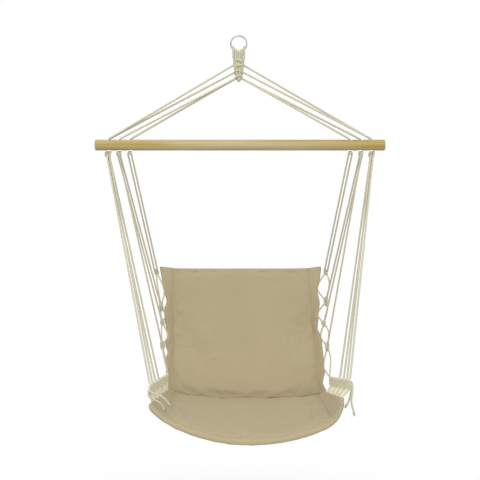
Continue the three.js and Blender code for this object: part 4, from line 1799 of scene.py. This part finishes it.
class PadGrid:
    """The grid that both covers of a pad are built on, over the pad's middle surface."""

    def __init__(self, shape: SlingShape, panel: Panel, first: float, last: Callable[[float], float],
                 pitch: float, side_overlap: float) -> None:
        """Lays the grid over a panel.

        Args:
            shape: the sling's shape.
            panel: the panel that it lies in.
            first: the share of the panel at which it starts.
            last: the share at which it ends, for a place across it.
            pitch: about how wide a step of the grid is.
            side_overlap: how far it reaches over the side seams.
        """
        self.panel = panel
        self.width, self.length = 2.0 * shape.seam_half, panel.length()
        self.wide, self.long = round(self.width / pitch), round(self.length / pitch)
        self.numbers: dict[tuple[int, int, int], int] = {}
        self.middles: list[list[Vector]] = []
        reach = 1.0 + side_overlap / shape.seam_half
        for t in shares(self.long):
            row = []
            for i in range(self.wide + 1):
                x = self.spot(0, i)[0]
                share = mix(first, last(x * 0.9), t)
                row.append(shape.point(panel, share, x * reach * shape.seam_share(panel, share)))
            self.middles.append(row)

    def spot(self, j: int, i: int) -> tuple[float, float]:
        """How far across (-1 to 1) and along (0 to 1) a place of the grid lies."""
        return 2.0 * i / self.wide - 1.0, j / self.long

    def places(self, rim: int = 0) -> list[tuple[int, int]]:
        """Every place of the grid that lies at least a count of steps inside its rim."""
        return [(j, i) for j in range(rim, self.long + 1 - rim) for i in range(rim, self.wide + 1 - rim)]

    def normal(self, j: int, i: int) -> Vector:
        """The way out of the middle surface.

        Args:
            j: the place's step along the grid.
            i: its step across the grid.

        Returns:
            The way.
        """
        along = self.middles[min(j + 1, self.long)][i] - self.middles[max(j - 1, 0)][i]
        across = self.middles[j][min(i + 1, self.wide)] - self.middles[j][max(i - 1, 0)]
        return along.cross(across).normalized()

    def rim(self) -> list[int]:
        """The corners of the sewn rim.

        Returns:
            Their numbers, once round.
        """
        wide, long = self.wide, self.long
        places = [(0, i) for i in range(wide)] + [(j, wide) for j in range(long)]
        places += [(long, i) for i in range(wide, 0, -1)] + [(j, 0) for j in range(long, 0, -1)]
        return [self.numbers[1, j, i] for j, i in places]

    def add_covers(self, draft: MeshDraft, back_uv: float) -> None:
        """Adds the faces of the front and the back cover, with UVs in metres.

        Args:
            draft: the mesh in the making.
            back_uv: how far along the UVs the back cover starts.
        """
        for face in (1, -1):
            for j in range(self.long):
                for i in range(self.wide):
                    spots = ((j, i), (j + 1, i), (j + 1, i + 1), (j, i + 1))[::face]
                    uvs = [(self.width * b / self.wide, self.length * a / self.long + (back_uv if face < 0 else 0.0))
                           for a, b in spots]
                    draft.add_face([self.numbers[face, a, b] for a, b in spots], uvs)


@dataclass
class Pads:
    """The padded back and seat: two sewn covers each, swollen over their wadding."""

    shape: SlingShape
    wardrobe: Wardrobe
    pitch: float = 0.005
    edge: float = 0.0042
    swell_back: float = 0.0100
    swell_seat: float = 0.0110
    hem_overlap: float = 0.0018
    side_overlap: float = 0.0025
    lip_share: float = 0.72
    back_uv: float = 0.7
    puff_steps: int = 18
    puff_limit: float = 0.005
    # Painted shade near the side seams and in the crease, and painted light on the seat and towards its front
    # corners.
    seam_shade: float = 0.13
    seam_reach: float = 0.006
    crease_dark: float = 0.12
    crease_reach: float = 0.06
    seat_light: float = 0.055
    corner_light: float = 0.05
    gather_reach: float = 0.020
    gather_start: float = 0.008
    gather_heights: tuple[float, float] = (0.0024, 0.0004)
    gathers_per_metre: tuple[float, float] = (62.0, 55.0)
    gather_fade: float = 14.0
    wrinkle_gain: float = 1.9
    wrinkle_width: float = 4.2 / 391.0
    wrinkles: tuple[tuple[float, float, float, float], ...] = (
        (-0.66, -0.28, 0.695, 0.0011), (-0.78, -0.45, 0.735, 0.0007), (-0.70, -0.36, 0.56, 0.0008),
        (-0.62, -0.30, 0.47, 0.0006), (0.70, 0.93, 0.165, 0.0009), (0.66, 0.9, 0.21, 0.0006),
        (-0.3, 0.1, 0.86, 0.0006), (0.35, 0.8, 0.62, 0.0004))

    def make(self) -> None:
        """Makes both pads."""
        back, seat = self.shape.back, self.shape.seat
        overlap = self.hem_overlap / back.length()
        self.make_pad("back_pad", back, overlap, lambda u: 1.0, self.swell_back, self.back_folds)
        self.make_pad("seat_pad", seat, 0.0, lambda u: 1.0 - self.lip_share * self.shape.lip(u) / seat.length(),
                      self.swell_seat, self.seat_folds)

    def make_pad(self, name: str, panel: Panel, first: float, last: Callable[[float], float], swell: float,
                 folds: Callable[[float, float], float]) -> None:
        """Makes one pad.

        Args:
            name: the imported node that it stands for.
            panel: the panel that it covers.
            first: the share of the panel at which it starts.
            last: the share at which it ends, for a place across it.
            swell: how much thicker it is in its middle than at its seams.
            folds: the height of its folds at a place across (-1 to 1) and along (0 to 1).
        """
        grid = PadGrid(self.shape, panel, first, last, self.pitch, self.side_overlap)
        inside = set(grid.places(rim=1))
        draft = MeshDraft()
        for face in (1, -1):
            for j, i in grid.places():
                if face < 0 and (j, i) not in inside:
                    grid.numbers[face, j, i] = grid.numbers[1, j, i]
                    continue
                x, t = grid.spot(j, i)
                crown = (1.0 - x ** 6) * (1.0 - (2.0 * t - 1.0) ** 6)
                thick = (self.edge + swell * crown) / 2.0 if (j, i) in inside else 0.0
                place = grid.middles[j][i] + grid.normal(j, i) * (thick * face)
                # Each corner carries painted shade near seams and crease, and painted light on the seat.
                grid.numbers[face, j, i] = draft.add_corner(place, self.seam_tone(panel, x, t))
        grid.add_covers(draft, self.back_uv)
        pad = draft.finished(f"{name}_cover")
        self.inflate(pad, grid.rim())
        for face in (1, -1):
            for j, i in grid.places(rim=1):
                height = folds(*grid.spot(j, i)) * (1.0 if face > 0 else 0.6) + self.pucker(grid, j, i, face)
                pad.data.vertices[grid.numbers[face, j, i]].co += grid.normal(j, i) * (height * face)
        self.refine(pad, grid.rim())
        self.wardrobe.dress(pad, self.wardrobe.canvas, name)

    def seam_tone(self, panel: Panel, x: float, t: float) -> float:
        """The painted shading: shade painted near the side seams and in the crease, light painted on the seat and
        towards its front corners.

        Args:
            panel: the pad's panel.
            x: the place across it, from -1 to 1.
            t: the place along it, from 0 to 1.

        Returns:
            The painted shading, under 0 where shade is painted and over 0 where light is painted.
        """
        side_gap = (1.0 - abs(x)) * self.shape.seam_half
        if panel is self.shape.back:
            crease_gap = (1.0 - t) * panel.length()
            crease = 0.07 * math.exp(-crease_gap / 0.016) + 0.02 * math.exp(-crease_gap / self.crease_reach)
        else:
            crease = self.crease_dark * math.exp(-t * panel.length() / self.crease_reach) - self.seat_light
            crease -= self.corner_light * eased(abs(x), 0.4, 1.0) * t
        return -self.seam_shade * math.exp(-side_gap / self.seam_reach) - crease

    def inflate(self, pad: bpy.types.Object, rim: Sequence[int]) -> None:
        """Swells a pad by a short cloth simulation with its sewn rim held.

        Args:
            pad: the pad, which keeps its corners' order.
            rim: the corners that are sewn down.
        """
        before = [corner.co.copy() for corner in pad.data.vertices]
        group = pad.vertex_groups.new(name="sewn")
        group.add(sorted(rim), 1.0, "REPLACE")
        cloth = pad.modifiers.new("puff", "CLOTH")
        for name, value in (
            ("quality", 4), ("mass", 0.25), ("tension_stiffness", 12.0), ("compression_stiffness", 12.0),
            ("shear_stiffness", 4.0), ("bending_stiffness", 0.4), ("shrink_min", -0.012), ("use_pressure", True),
            ("uniform_pressure_force", 2.2), ("vertex_group_mass", group.name),
        ):
            setattr(cloth.settings, name, value)
        cloth.settings.effector_weights.gravity = 0.0
        cloth.collision_settings.use_collision = False
        cloth.point_cache.frame_start = 1
        cloth.point_cache.frame_end = self.puff_steps
        for step in range(1, self.puff_steps + 1):
            bpy.context.scene.frame_set(step)
        apply_modifiers(pad)
        bpy.context.scene.frame_set(1)
        pad.vertex_groups.clear()
        for corner, start in zip(pad.data.vertices, before):
            move = corner.co - start
            if move.length > self.puff_limit:
                corner.co = start + move.normalized() * self.puff_limit

    def pucker(self, grid: PadGrid, j: int, i: int, face: int) -> float:
        """Small gathers square to the nearest seam, fading inwards.

        Args:
            grid: the pad's grid.
            j: the place's step along it.
            i: its step across it.
            face: 1 for the front cover and -1 for the back one.

        Returns:
            The height.
        """
        x, t = grid.spot(j, i)
        side_gap = (1.0 - abs(x)) * grid.wide * self.pitch / 2.0
        end_gap = min(t, 1.0 - t) * grid.long * self.pitch
        run_along, run_across = t * grid.long * self.pitch, x * grid.wide * self.pitch / 2.0
        height = 0.0
        for gap, run, row, tall, count in zip(
                (side_gap, end_gap), (run_along, run_across),
                (3.1 * face + (5.0 if x > 0 else 0.0), 9.0 + (4.0 if t > 0.5 else 0.0) + face),
                self.gather_heights, self.gathers_per_metre):
            fade = math.exp(-gap / self.gather_reach) * eased(gap, 0.0, self.gather_start)
            height += tall * fade * noise.noise(Vector((run * count, row, gap * self.gather_fade)))
        return height

    def back_folds(self, x: float, t: float) -> float:
        """The back's soft level folds, deeper towards the lacing, and its few sharper wrinkles.

        Args:
            x: the place across it, from -1 to 1.
            t: the place along it, from 0 to 1.

        Returns:
            The height of the folds.
        """
        level = noise.noise(Vector((x * 1.7, t * 13.0, 2.0)))
        fine = noise.noise(Vector((x * 3.4 + 7.0, t * 34.0, 5.0)))
        sag = noise.noise(Vector((x * 2.0, t * 3.0, 8.0)))
        edge = 0.45 + 0.55 * abs(x) ** 1.5
        height = 0.0009 * level * edge + 0.0005 * fine * edge * eased(abs(x), 0.2, 0.8) + 0.0016 * sag
        height *= eased(1.0 - t, 0.0, 0.1)
        for start, end, at, rise in self.wrinkles:
            along = (x - start) / (end - start)
            if 0.0 < along < 1.0:
                off = (t - at - 0.006 * math.sin(along * 5.0 + start * 9.0)) / self.wrinkle_width
                height += rise * self.wrinkle_gain * math.sin(math.pi * along) * math.exp(-off ** 2)
        return height

    def seat_folds(self, x: float, t: float) -> float:
        """The seat's broad swells and faint folds from its corners.

        Args:
            x: the place across it, from -1 to 1.
            t: the place along it, from 0 to 1.

        Returns:
            The height of the folds.
        """
        broad = noise.noise(Vector((x * 1.4, t * 2.2, 21.0)))
        fan = noise.noise(Vector((x * 5.0, t * 5.0 + abs(x) * 4.0, 27.0)))
        return (0.0018 * broad + 0.0009 * fan * (0.3 + 0.7 * abs(x))) * eased(t, 0.0, 0.12)

    def refine(self, pad: bpy.types.Object, rim: list[int]) -> None:
        """Halves the pad's faces once, smoothly, and keeps its sewn rim sharp.

        Args:
            pad: the pad.
            rim: its sewn corners, once round.
        """
        sharp = pad.data.attributes.new("crease_edge", "FLOAT", "EDGE")
        sewn = {frozenset(pair) for pair in zip(rim, rim[1:] + rim[:1])}
        for number, edge in enumerate(pad.data.edges):
            sharp.data[number].value = 1.0 if frozenset(edge.vertices) in sewn else 0.0
        modifier = pad.modifiers.new("finer", "SUBSURF")
        modifier.levels = modifier.render_levels = 1
        apply_modifiers(pad)
        pad.data.shade_smooth()


@dataclass
class Stitches:
    """Rows of straight stitches in the canvas."""

    wardrobe: Wardrobe
    length: float = 0.0034
    pitch: float = 0.0047
    thread: float = 0.0008
    probe: float = 0.03
    profile: tuple[tuple[float, float], ...] = ((0.0, 0.35), (0.2, 0.9), (0.5, 1.0), (0.8, 0.9), (1.0, 0.35))

    def sew(self, name: str, cloth: bpy.types.Object, row: Sequence[tuple[Vector, Vector]]) -> None:
        """Sews one row on both faces of a hem.

        Args:
            name: the row's name.
            cloth: the hem that it is sewn in.
            row: places along the row, each with the way out of the cloth.
        """
        skin = BVHTree.FromPolygons([corner.co for corner in cloth.data.vertices],
                                    [tuple(face.vertices) for face in cloth.data.polygons])
        draft = MeshDraft()
        for facing in (1.0, -1.0):
            line = []
            for place, out in row:
                hit = skin.ray_cast(place + out * (facing * self.probe), out * -facing, self.probe)[0]
                if hit is not None:
                    line.append(hit + out * (facing * self.thread * 0.2))
            points = evenly(line, self.pitch)
            for before, after in zip(points, points[1:]):
                self.lay(draft, before, after)
        self.wardrobe.dress(draft.finished(name), self.wardrobe.thread)

    def lay(self, draft: MeshDraft, before: Vector, after: Vector) -> None:
        """Lays one stitch.

        Args:
            draft: the mesh in the making.
            before: the hole that it starts from.
            after: the next hole.
        """
        way = (after - before).normalized()
        across, beside = square_ways(way)
        rings = [[before + way * (self.length * share) + toward(across, beside, angle) * (self.thread / 2.0 * width)
                  for angle in angles(6)] for share, width in self.profile]
        draft.add_rings(rings, [self.length * share for share, _ in self.profile])


@dataclass
class Hems:
    """Side sleeves with their rope, the hem at the top of the back and the roll at the front of the seat."""

    shape: SlingShape
    wardrobe: Wardrobe
    rope: float = 0.007
    rope_bend: float = 0.012
    sleeve_steps: int = 120
    sleeve_sides: int = 28
    sleeve_girth: float = 0.06
    cross_steps: int = 110
    cross_sides: int = 20
    cross_girth: float = 0.04
    top_height: float = 0.012
    top_thickness: float = 0.0062
    front_roll: float = 0.015
    # Painted light on the seat's sleeves and where a hem faces up, a lighter rounded outer edge, and painted shade
    # next to the seam.
    seat_tone: float = 0.20
    level_tone: float = 0.09
    worn_tone: float = 0.06
    seam_shade: float = 0.13
    seam_half: float = 0.0018
    end_open: float = 0.45
    end_taper: float = 0.006
    flat_share: float = 0.62
    crumple_scale: tuple[float, float] = (48.0, 60.0)
    crumple_heights: tuple[float, float] = (0.0016, 0.0007)
    cross_crumple: float = 0.0011
    cross_flats: tuple[float, float] = (0.55, 0.95)
    cross_corner: float = 0.035
    lip_start: float = 0.45
    stitch_rows: int = 60
    stitch_spans: tuple[tuple[float, float], ...] = ((0.02, 0.96), (0.02, 0.87))
    cross_spans: tuple[float, float] = (0.84, 0.80)
    stitch_inset: float = 0.0042
    top_stitch_drop: float = 0.0085
    lip_stitch_share: float = 0.8

    def make(self) -> None:
        """Makes every hem, the two edge ropes and the rows of stitches."""
        back, seat = self.shape.back, self.shape.seat
        stitches = Stitches(self.wardrobe)
        lasts = (1.0, 1.0 - self.lip_start * self.shape.lip(1.0) / seat.length())
        for side in Side:
            for name, panel, last, span in zip(("back", "seat"), (back, seat), lasts, self.stitch_spans):
                sleeve = self.make_sleeve(f"{name}_hem_{side.word}", panel, last, side)
                frames = [self.shape.hem(panel, mix(*span, share), side) for share in shares(self.stitch_rows)]
                row = [(hem.seam + hem.across * self.stitch_inset, hem.upright) for hem in frames]
                stitches.sew(f"{name}_stitches_{side.word}", sleeve, row)
            self.make_rope(side)
        top, lip = self.make_cross_hem("back_top_hem", False), self.make_cross_hem("seat_front_roll", True)
        for name, hem, panel, reach in zip(("top", "lip"), (top, lip), (back, seat), self.cross_spans):
            row = []
            for share_across in shares(self.stitch_rows):
                u = mix(-reach, reach, share_across)
                share = self.top_stitch_drop / back.length()
                if panel is seat:
                    share = 1.0 - self.lip_stitch_share * self.shape.lip(u) / seat.length()
                row.append((self.shape.point(panel, share, u), self.shape.normal(panel, share, u)))
            stitches.sew(f"{name}_stitches", hem, row)

    def make_sleeve(self, name: str, panel: Panel, last: float, side: Side) -> bpy.types.Object:
        """Makes one side hem: thin at its seam, round over its rope, drawn in by the lacing.

        Args:
            name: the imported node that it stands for.
            panel: the panel that it is sewn to.
            last: the share of the panel at which it ends.
            side: which side of the chair.

        Returns:
            The sleeve.
        """
        rings, along, tones = [], [], []
        # The seat's sleeves are lifted by painted light.
        lighter = self.seat_tone if panel is self.shape.seat else 0.0
        for step_share in shares(self.sleeve_steps):
            share = last * step_share
            hem = self.shape.hem(panel, share, side)
            width = hem.width - self.shape.scallop(panel, share, side)
            run = share * panel.length()
            end_gap = min(step_share, 1.0 - step_share) * panel.length()
            close = mix(self.end_open, 1.0, eased(end_gap, 0.0, self.end_taper))
            ring = [self.sleeve_point(hem, width, run, angle, side, close) for angle in angles(self.sleeve_sides)]
            ring = ring[::-side.value]
            rings.append([place for place, _ in ring])
            tones.append([tone + lighter for _, tone in ring])
            along.append(run)
        draft = MeshDraft()
        draft.add_rings(rings, along, tones, self.sleeve_girth)
        sleeve = self.wardrobe.dress(draft.finished(f"{name}_sleeve"), self.wardrobe.canvas, name)
        return sleeve

    def sleeve_point(self, hem: HemFrame, width: float, run: float, angle: float, side: Side,
                     close: float) -> tuple[Vector, float]:
        """A point of a sleeve's skin, and its painted shading.

        Args:
            hem: the hem's frame there.
            width: the hem's width there.
            run: how far along the panel it is.
            angle: the angle around the sleeve, 0 at its outer edge.
            side: which side of the chair.
            close: how open the sleeve is there, from 0 to 1.

        Returns:
            The point, and its painted shading.
        """
        radius = self.shape.hem_thickness / 2.0 - self.shape.touch_gap
        c, s = math.cos(angle), math.sin(angle)
        if c > 0.0:
            across, up = width - radius + radius * c, radius * s
        else:
            across = mix(width - radius, -0.0006, eased(-c, 0.0, 1.0) ** 0.8)
            flat = mix(self.seam_half, radius * self.flat_share, eased(across / width, 0.05, 0.6))
            rise = eased(across, width - radius * 2.4, width - radius)
            up = mix(math.copysign(flat, s) * abs(s) ** 0.35, math.copysign(radius, s), rise * abs(s))
        cloth = Vector((run * self.crumple_scale[0], side.of((17.0, 31.0)), across * self.crumple_scale[1]))
        broad, fine = self.crumple_heights
        crumple = noise.noise(cloth) * broad + noise.noise(cloth * 2.3) * fine
        up = (up + math.copysign(crumple, s) * (1.0 - abs(c) ** 4)) * close
        # Painted shade next to the seam and in the crumples' hollows, painted light where the hem faces up, and a
        # lighter rounded outer edge.
        tone = self.worn_tone * eased(c, 0.75, 1.0) - self.seam_shade * math.exp(-across / 0.005)
        tone += self.level_tone * eased(hem.upright.z, 0.3, 0.8) - 0.08 * max(-crumple, 0.0) / broad
        return hem.seam + hem.across * (across * mix(0.9, 1.0, close)) + hem.upright * up, tone

    def make_rope(self, side: Side) -> None:
        """Lays the rope in the two sleeves of one side, which turns the corner at the crease in the open.

        Args:
            side: which side of the chair.
        """
        back, seat = self.shape.back, self.shape.seat
        bend_back, bend_seat = self.rope_bend / back.length(), self.rope_bend / seat.length()
        line = []
        for share in shares(60)[3:-1]:
            share *= 1.0 - bend_back
            hem = self.shape.hem(back, share, side)
            inset = self.shape.hem_thickness / 2.0 + self.shape.scallop(back, share, side)
            line.append(hem.edge - hem.across * inset)
        corner = self.shape.hem_round(back, 1.0, side).lerp(self.shape.hem_round(seat, 0.0, side), 0.5)
        line += curved(line[-1], corner, self.shape.hem_round(seat, bend_seat, side), 8)
        line += [self.shape.hem_round(seat, mix(bend_seat, 1.0, share), side) for share in shares(60)[:-3]]
        name = f"edge_rope_{side.word}"
        self.wardrobe.roped(Rope(self.rope), line, f"{name}_laid", name)

    def make_cross_hem(self, name: str, front: bool) -> bpy.types.Object:
        """Makes a hem across the sling: from seam to seam at the top, from edge to edge at the front.

        Args:
            name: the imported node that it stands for.
            front: whether it is the seat's front lip, and not the top of the back.

        Returns:
            The hem.
        """
        panel, share = (self.shape.seat, 1.0) if front else (self.shape.back, 0.0)
        thickness = self.front_roll if front else self.top_thickness
        reach = (1.0 if front else self.shape.seam_share(panel, share)) - 0.0006 / panel.half(share)
        rings, along, tones = [], [], []
        for step_share in shares(self.cross_steps):
            x = 2.0 * step_share - 1.0
            u = x * reach
            tall = self.shape.lip(u) if front else self.top_height
            past = max(0.0, (abs(x) - 1.0) / self.cross_corner + 1.0)
            round_off = math.sqrt(max(1.0 - past ** 2, 0.02)) if front else 1.0
            flat_edge = mix(*self.cross_flats, eased(abs(u), 0.85, 0.98) if front else 0.0)
            centre = self.shape.point(panel, abs(share - tall / 2.0 / panel.length()), u)
            way = self.shape.point(panel, 1.0, u) - self.shape.point(panel, 0.0, u)
            way = way.normalized() * (1.0 if front else -1.0)
            out = self.shape.normal(panel, share, u)
            ring, ring_tones = [], []
            for angle in angles(self.cross_sides):
                c, s = math.cos(angle), math.sin(angle)
                crumple = noise.noise(Vector((x * 13.0, 40.0 + share * 9.0, angle * 0.8))) * self.cross_crumple
                squeeze = mix(1.0, flat_edge, eased(-c, 0.1, 1.0))
                high = s * (thickness / 2.0 * squeeze + crumple) * round_off
                ring.append(centre + way * (c * tall / 2.0 * mix(0.8, 1.0, round_off)) + out * high)
                # Painted shade on the front roll's rear side, where it meets the seat pad. The outer edge is a little
                # lighter.
                joint_shade = 0.12 * eased(-c, 0.5, 1.0) if front else 0.0
                ring_tones.append(0.04 * eased(c, 0.7, 1.0) - joint_shade)
            rings.append(ring if front else ring[::-1])
            tones.append(ring_tones if front else ring_tones[::-1])
            along.append((x + 1.0) * self.shape.seam_half)
        draft = MeshDraft()
        draft.add_rings(rings, along, tones, self.cross_girth)
        hem = self.wardrobe.dress(draft.finished(f"{name}_roll"), self.wardrobe.canvas, name)
        return hem


def main() -> None:
    """Builds the chair, piece by piece, and reports each one."""
    bpy.context.scene.view_settings.view_transform = "Standard"
    studio = Studio()
    studio.set_camera()
    shape = SlingShape()
    wardrobe = Wardrobe()
    ring, bar = SteelRing(wardrobe), SpreaderBar(wardrobe)
    for part in (ArmTails(shape, wardrobe), ring, Clew(wardrobe, ring, bar), bar, BarKnots(wardrobe, bar),
                 HangingCords(shape, wardrobe, bar), SideLacing(shape, wardrobe), ArmBands(shape, wardrobe),
                 Pads(shape, wardrobe), Hems(shape, wardrobe)):
        log.info("%s", part.__class__.__name__)
        part.make()
    studio.light()
    studio.lay_floor()


if __name__ == "__main__":
    main()
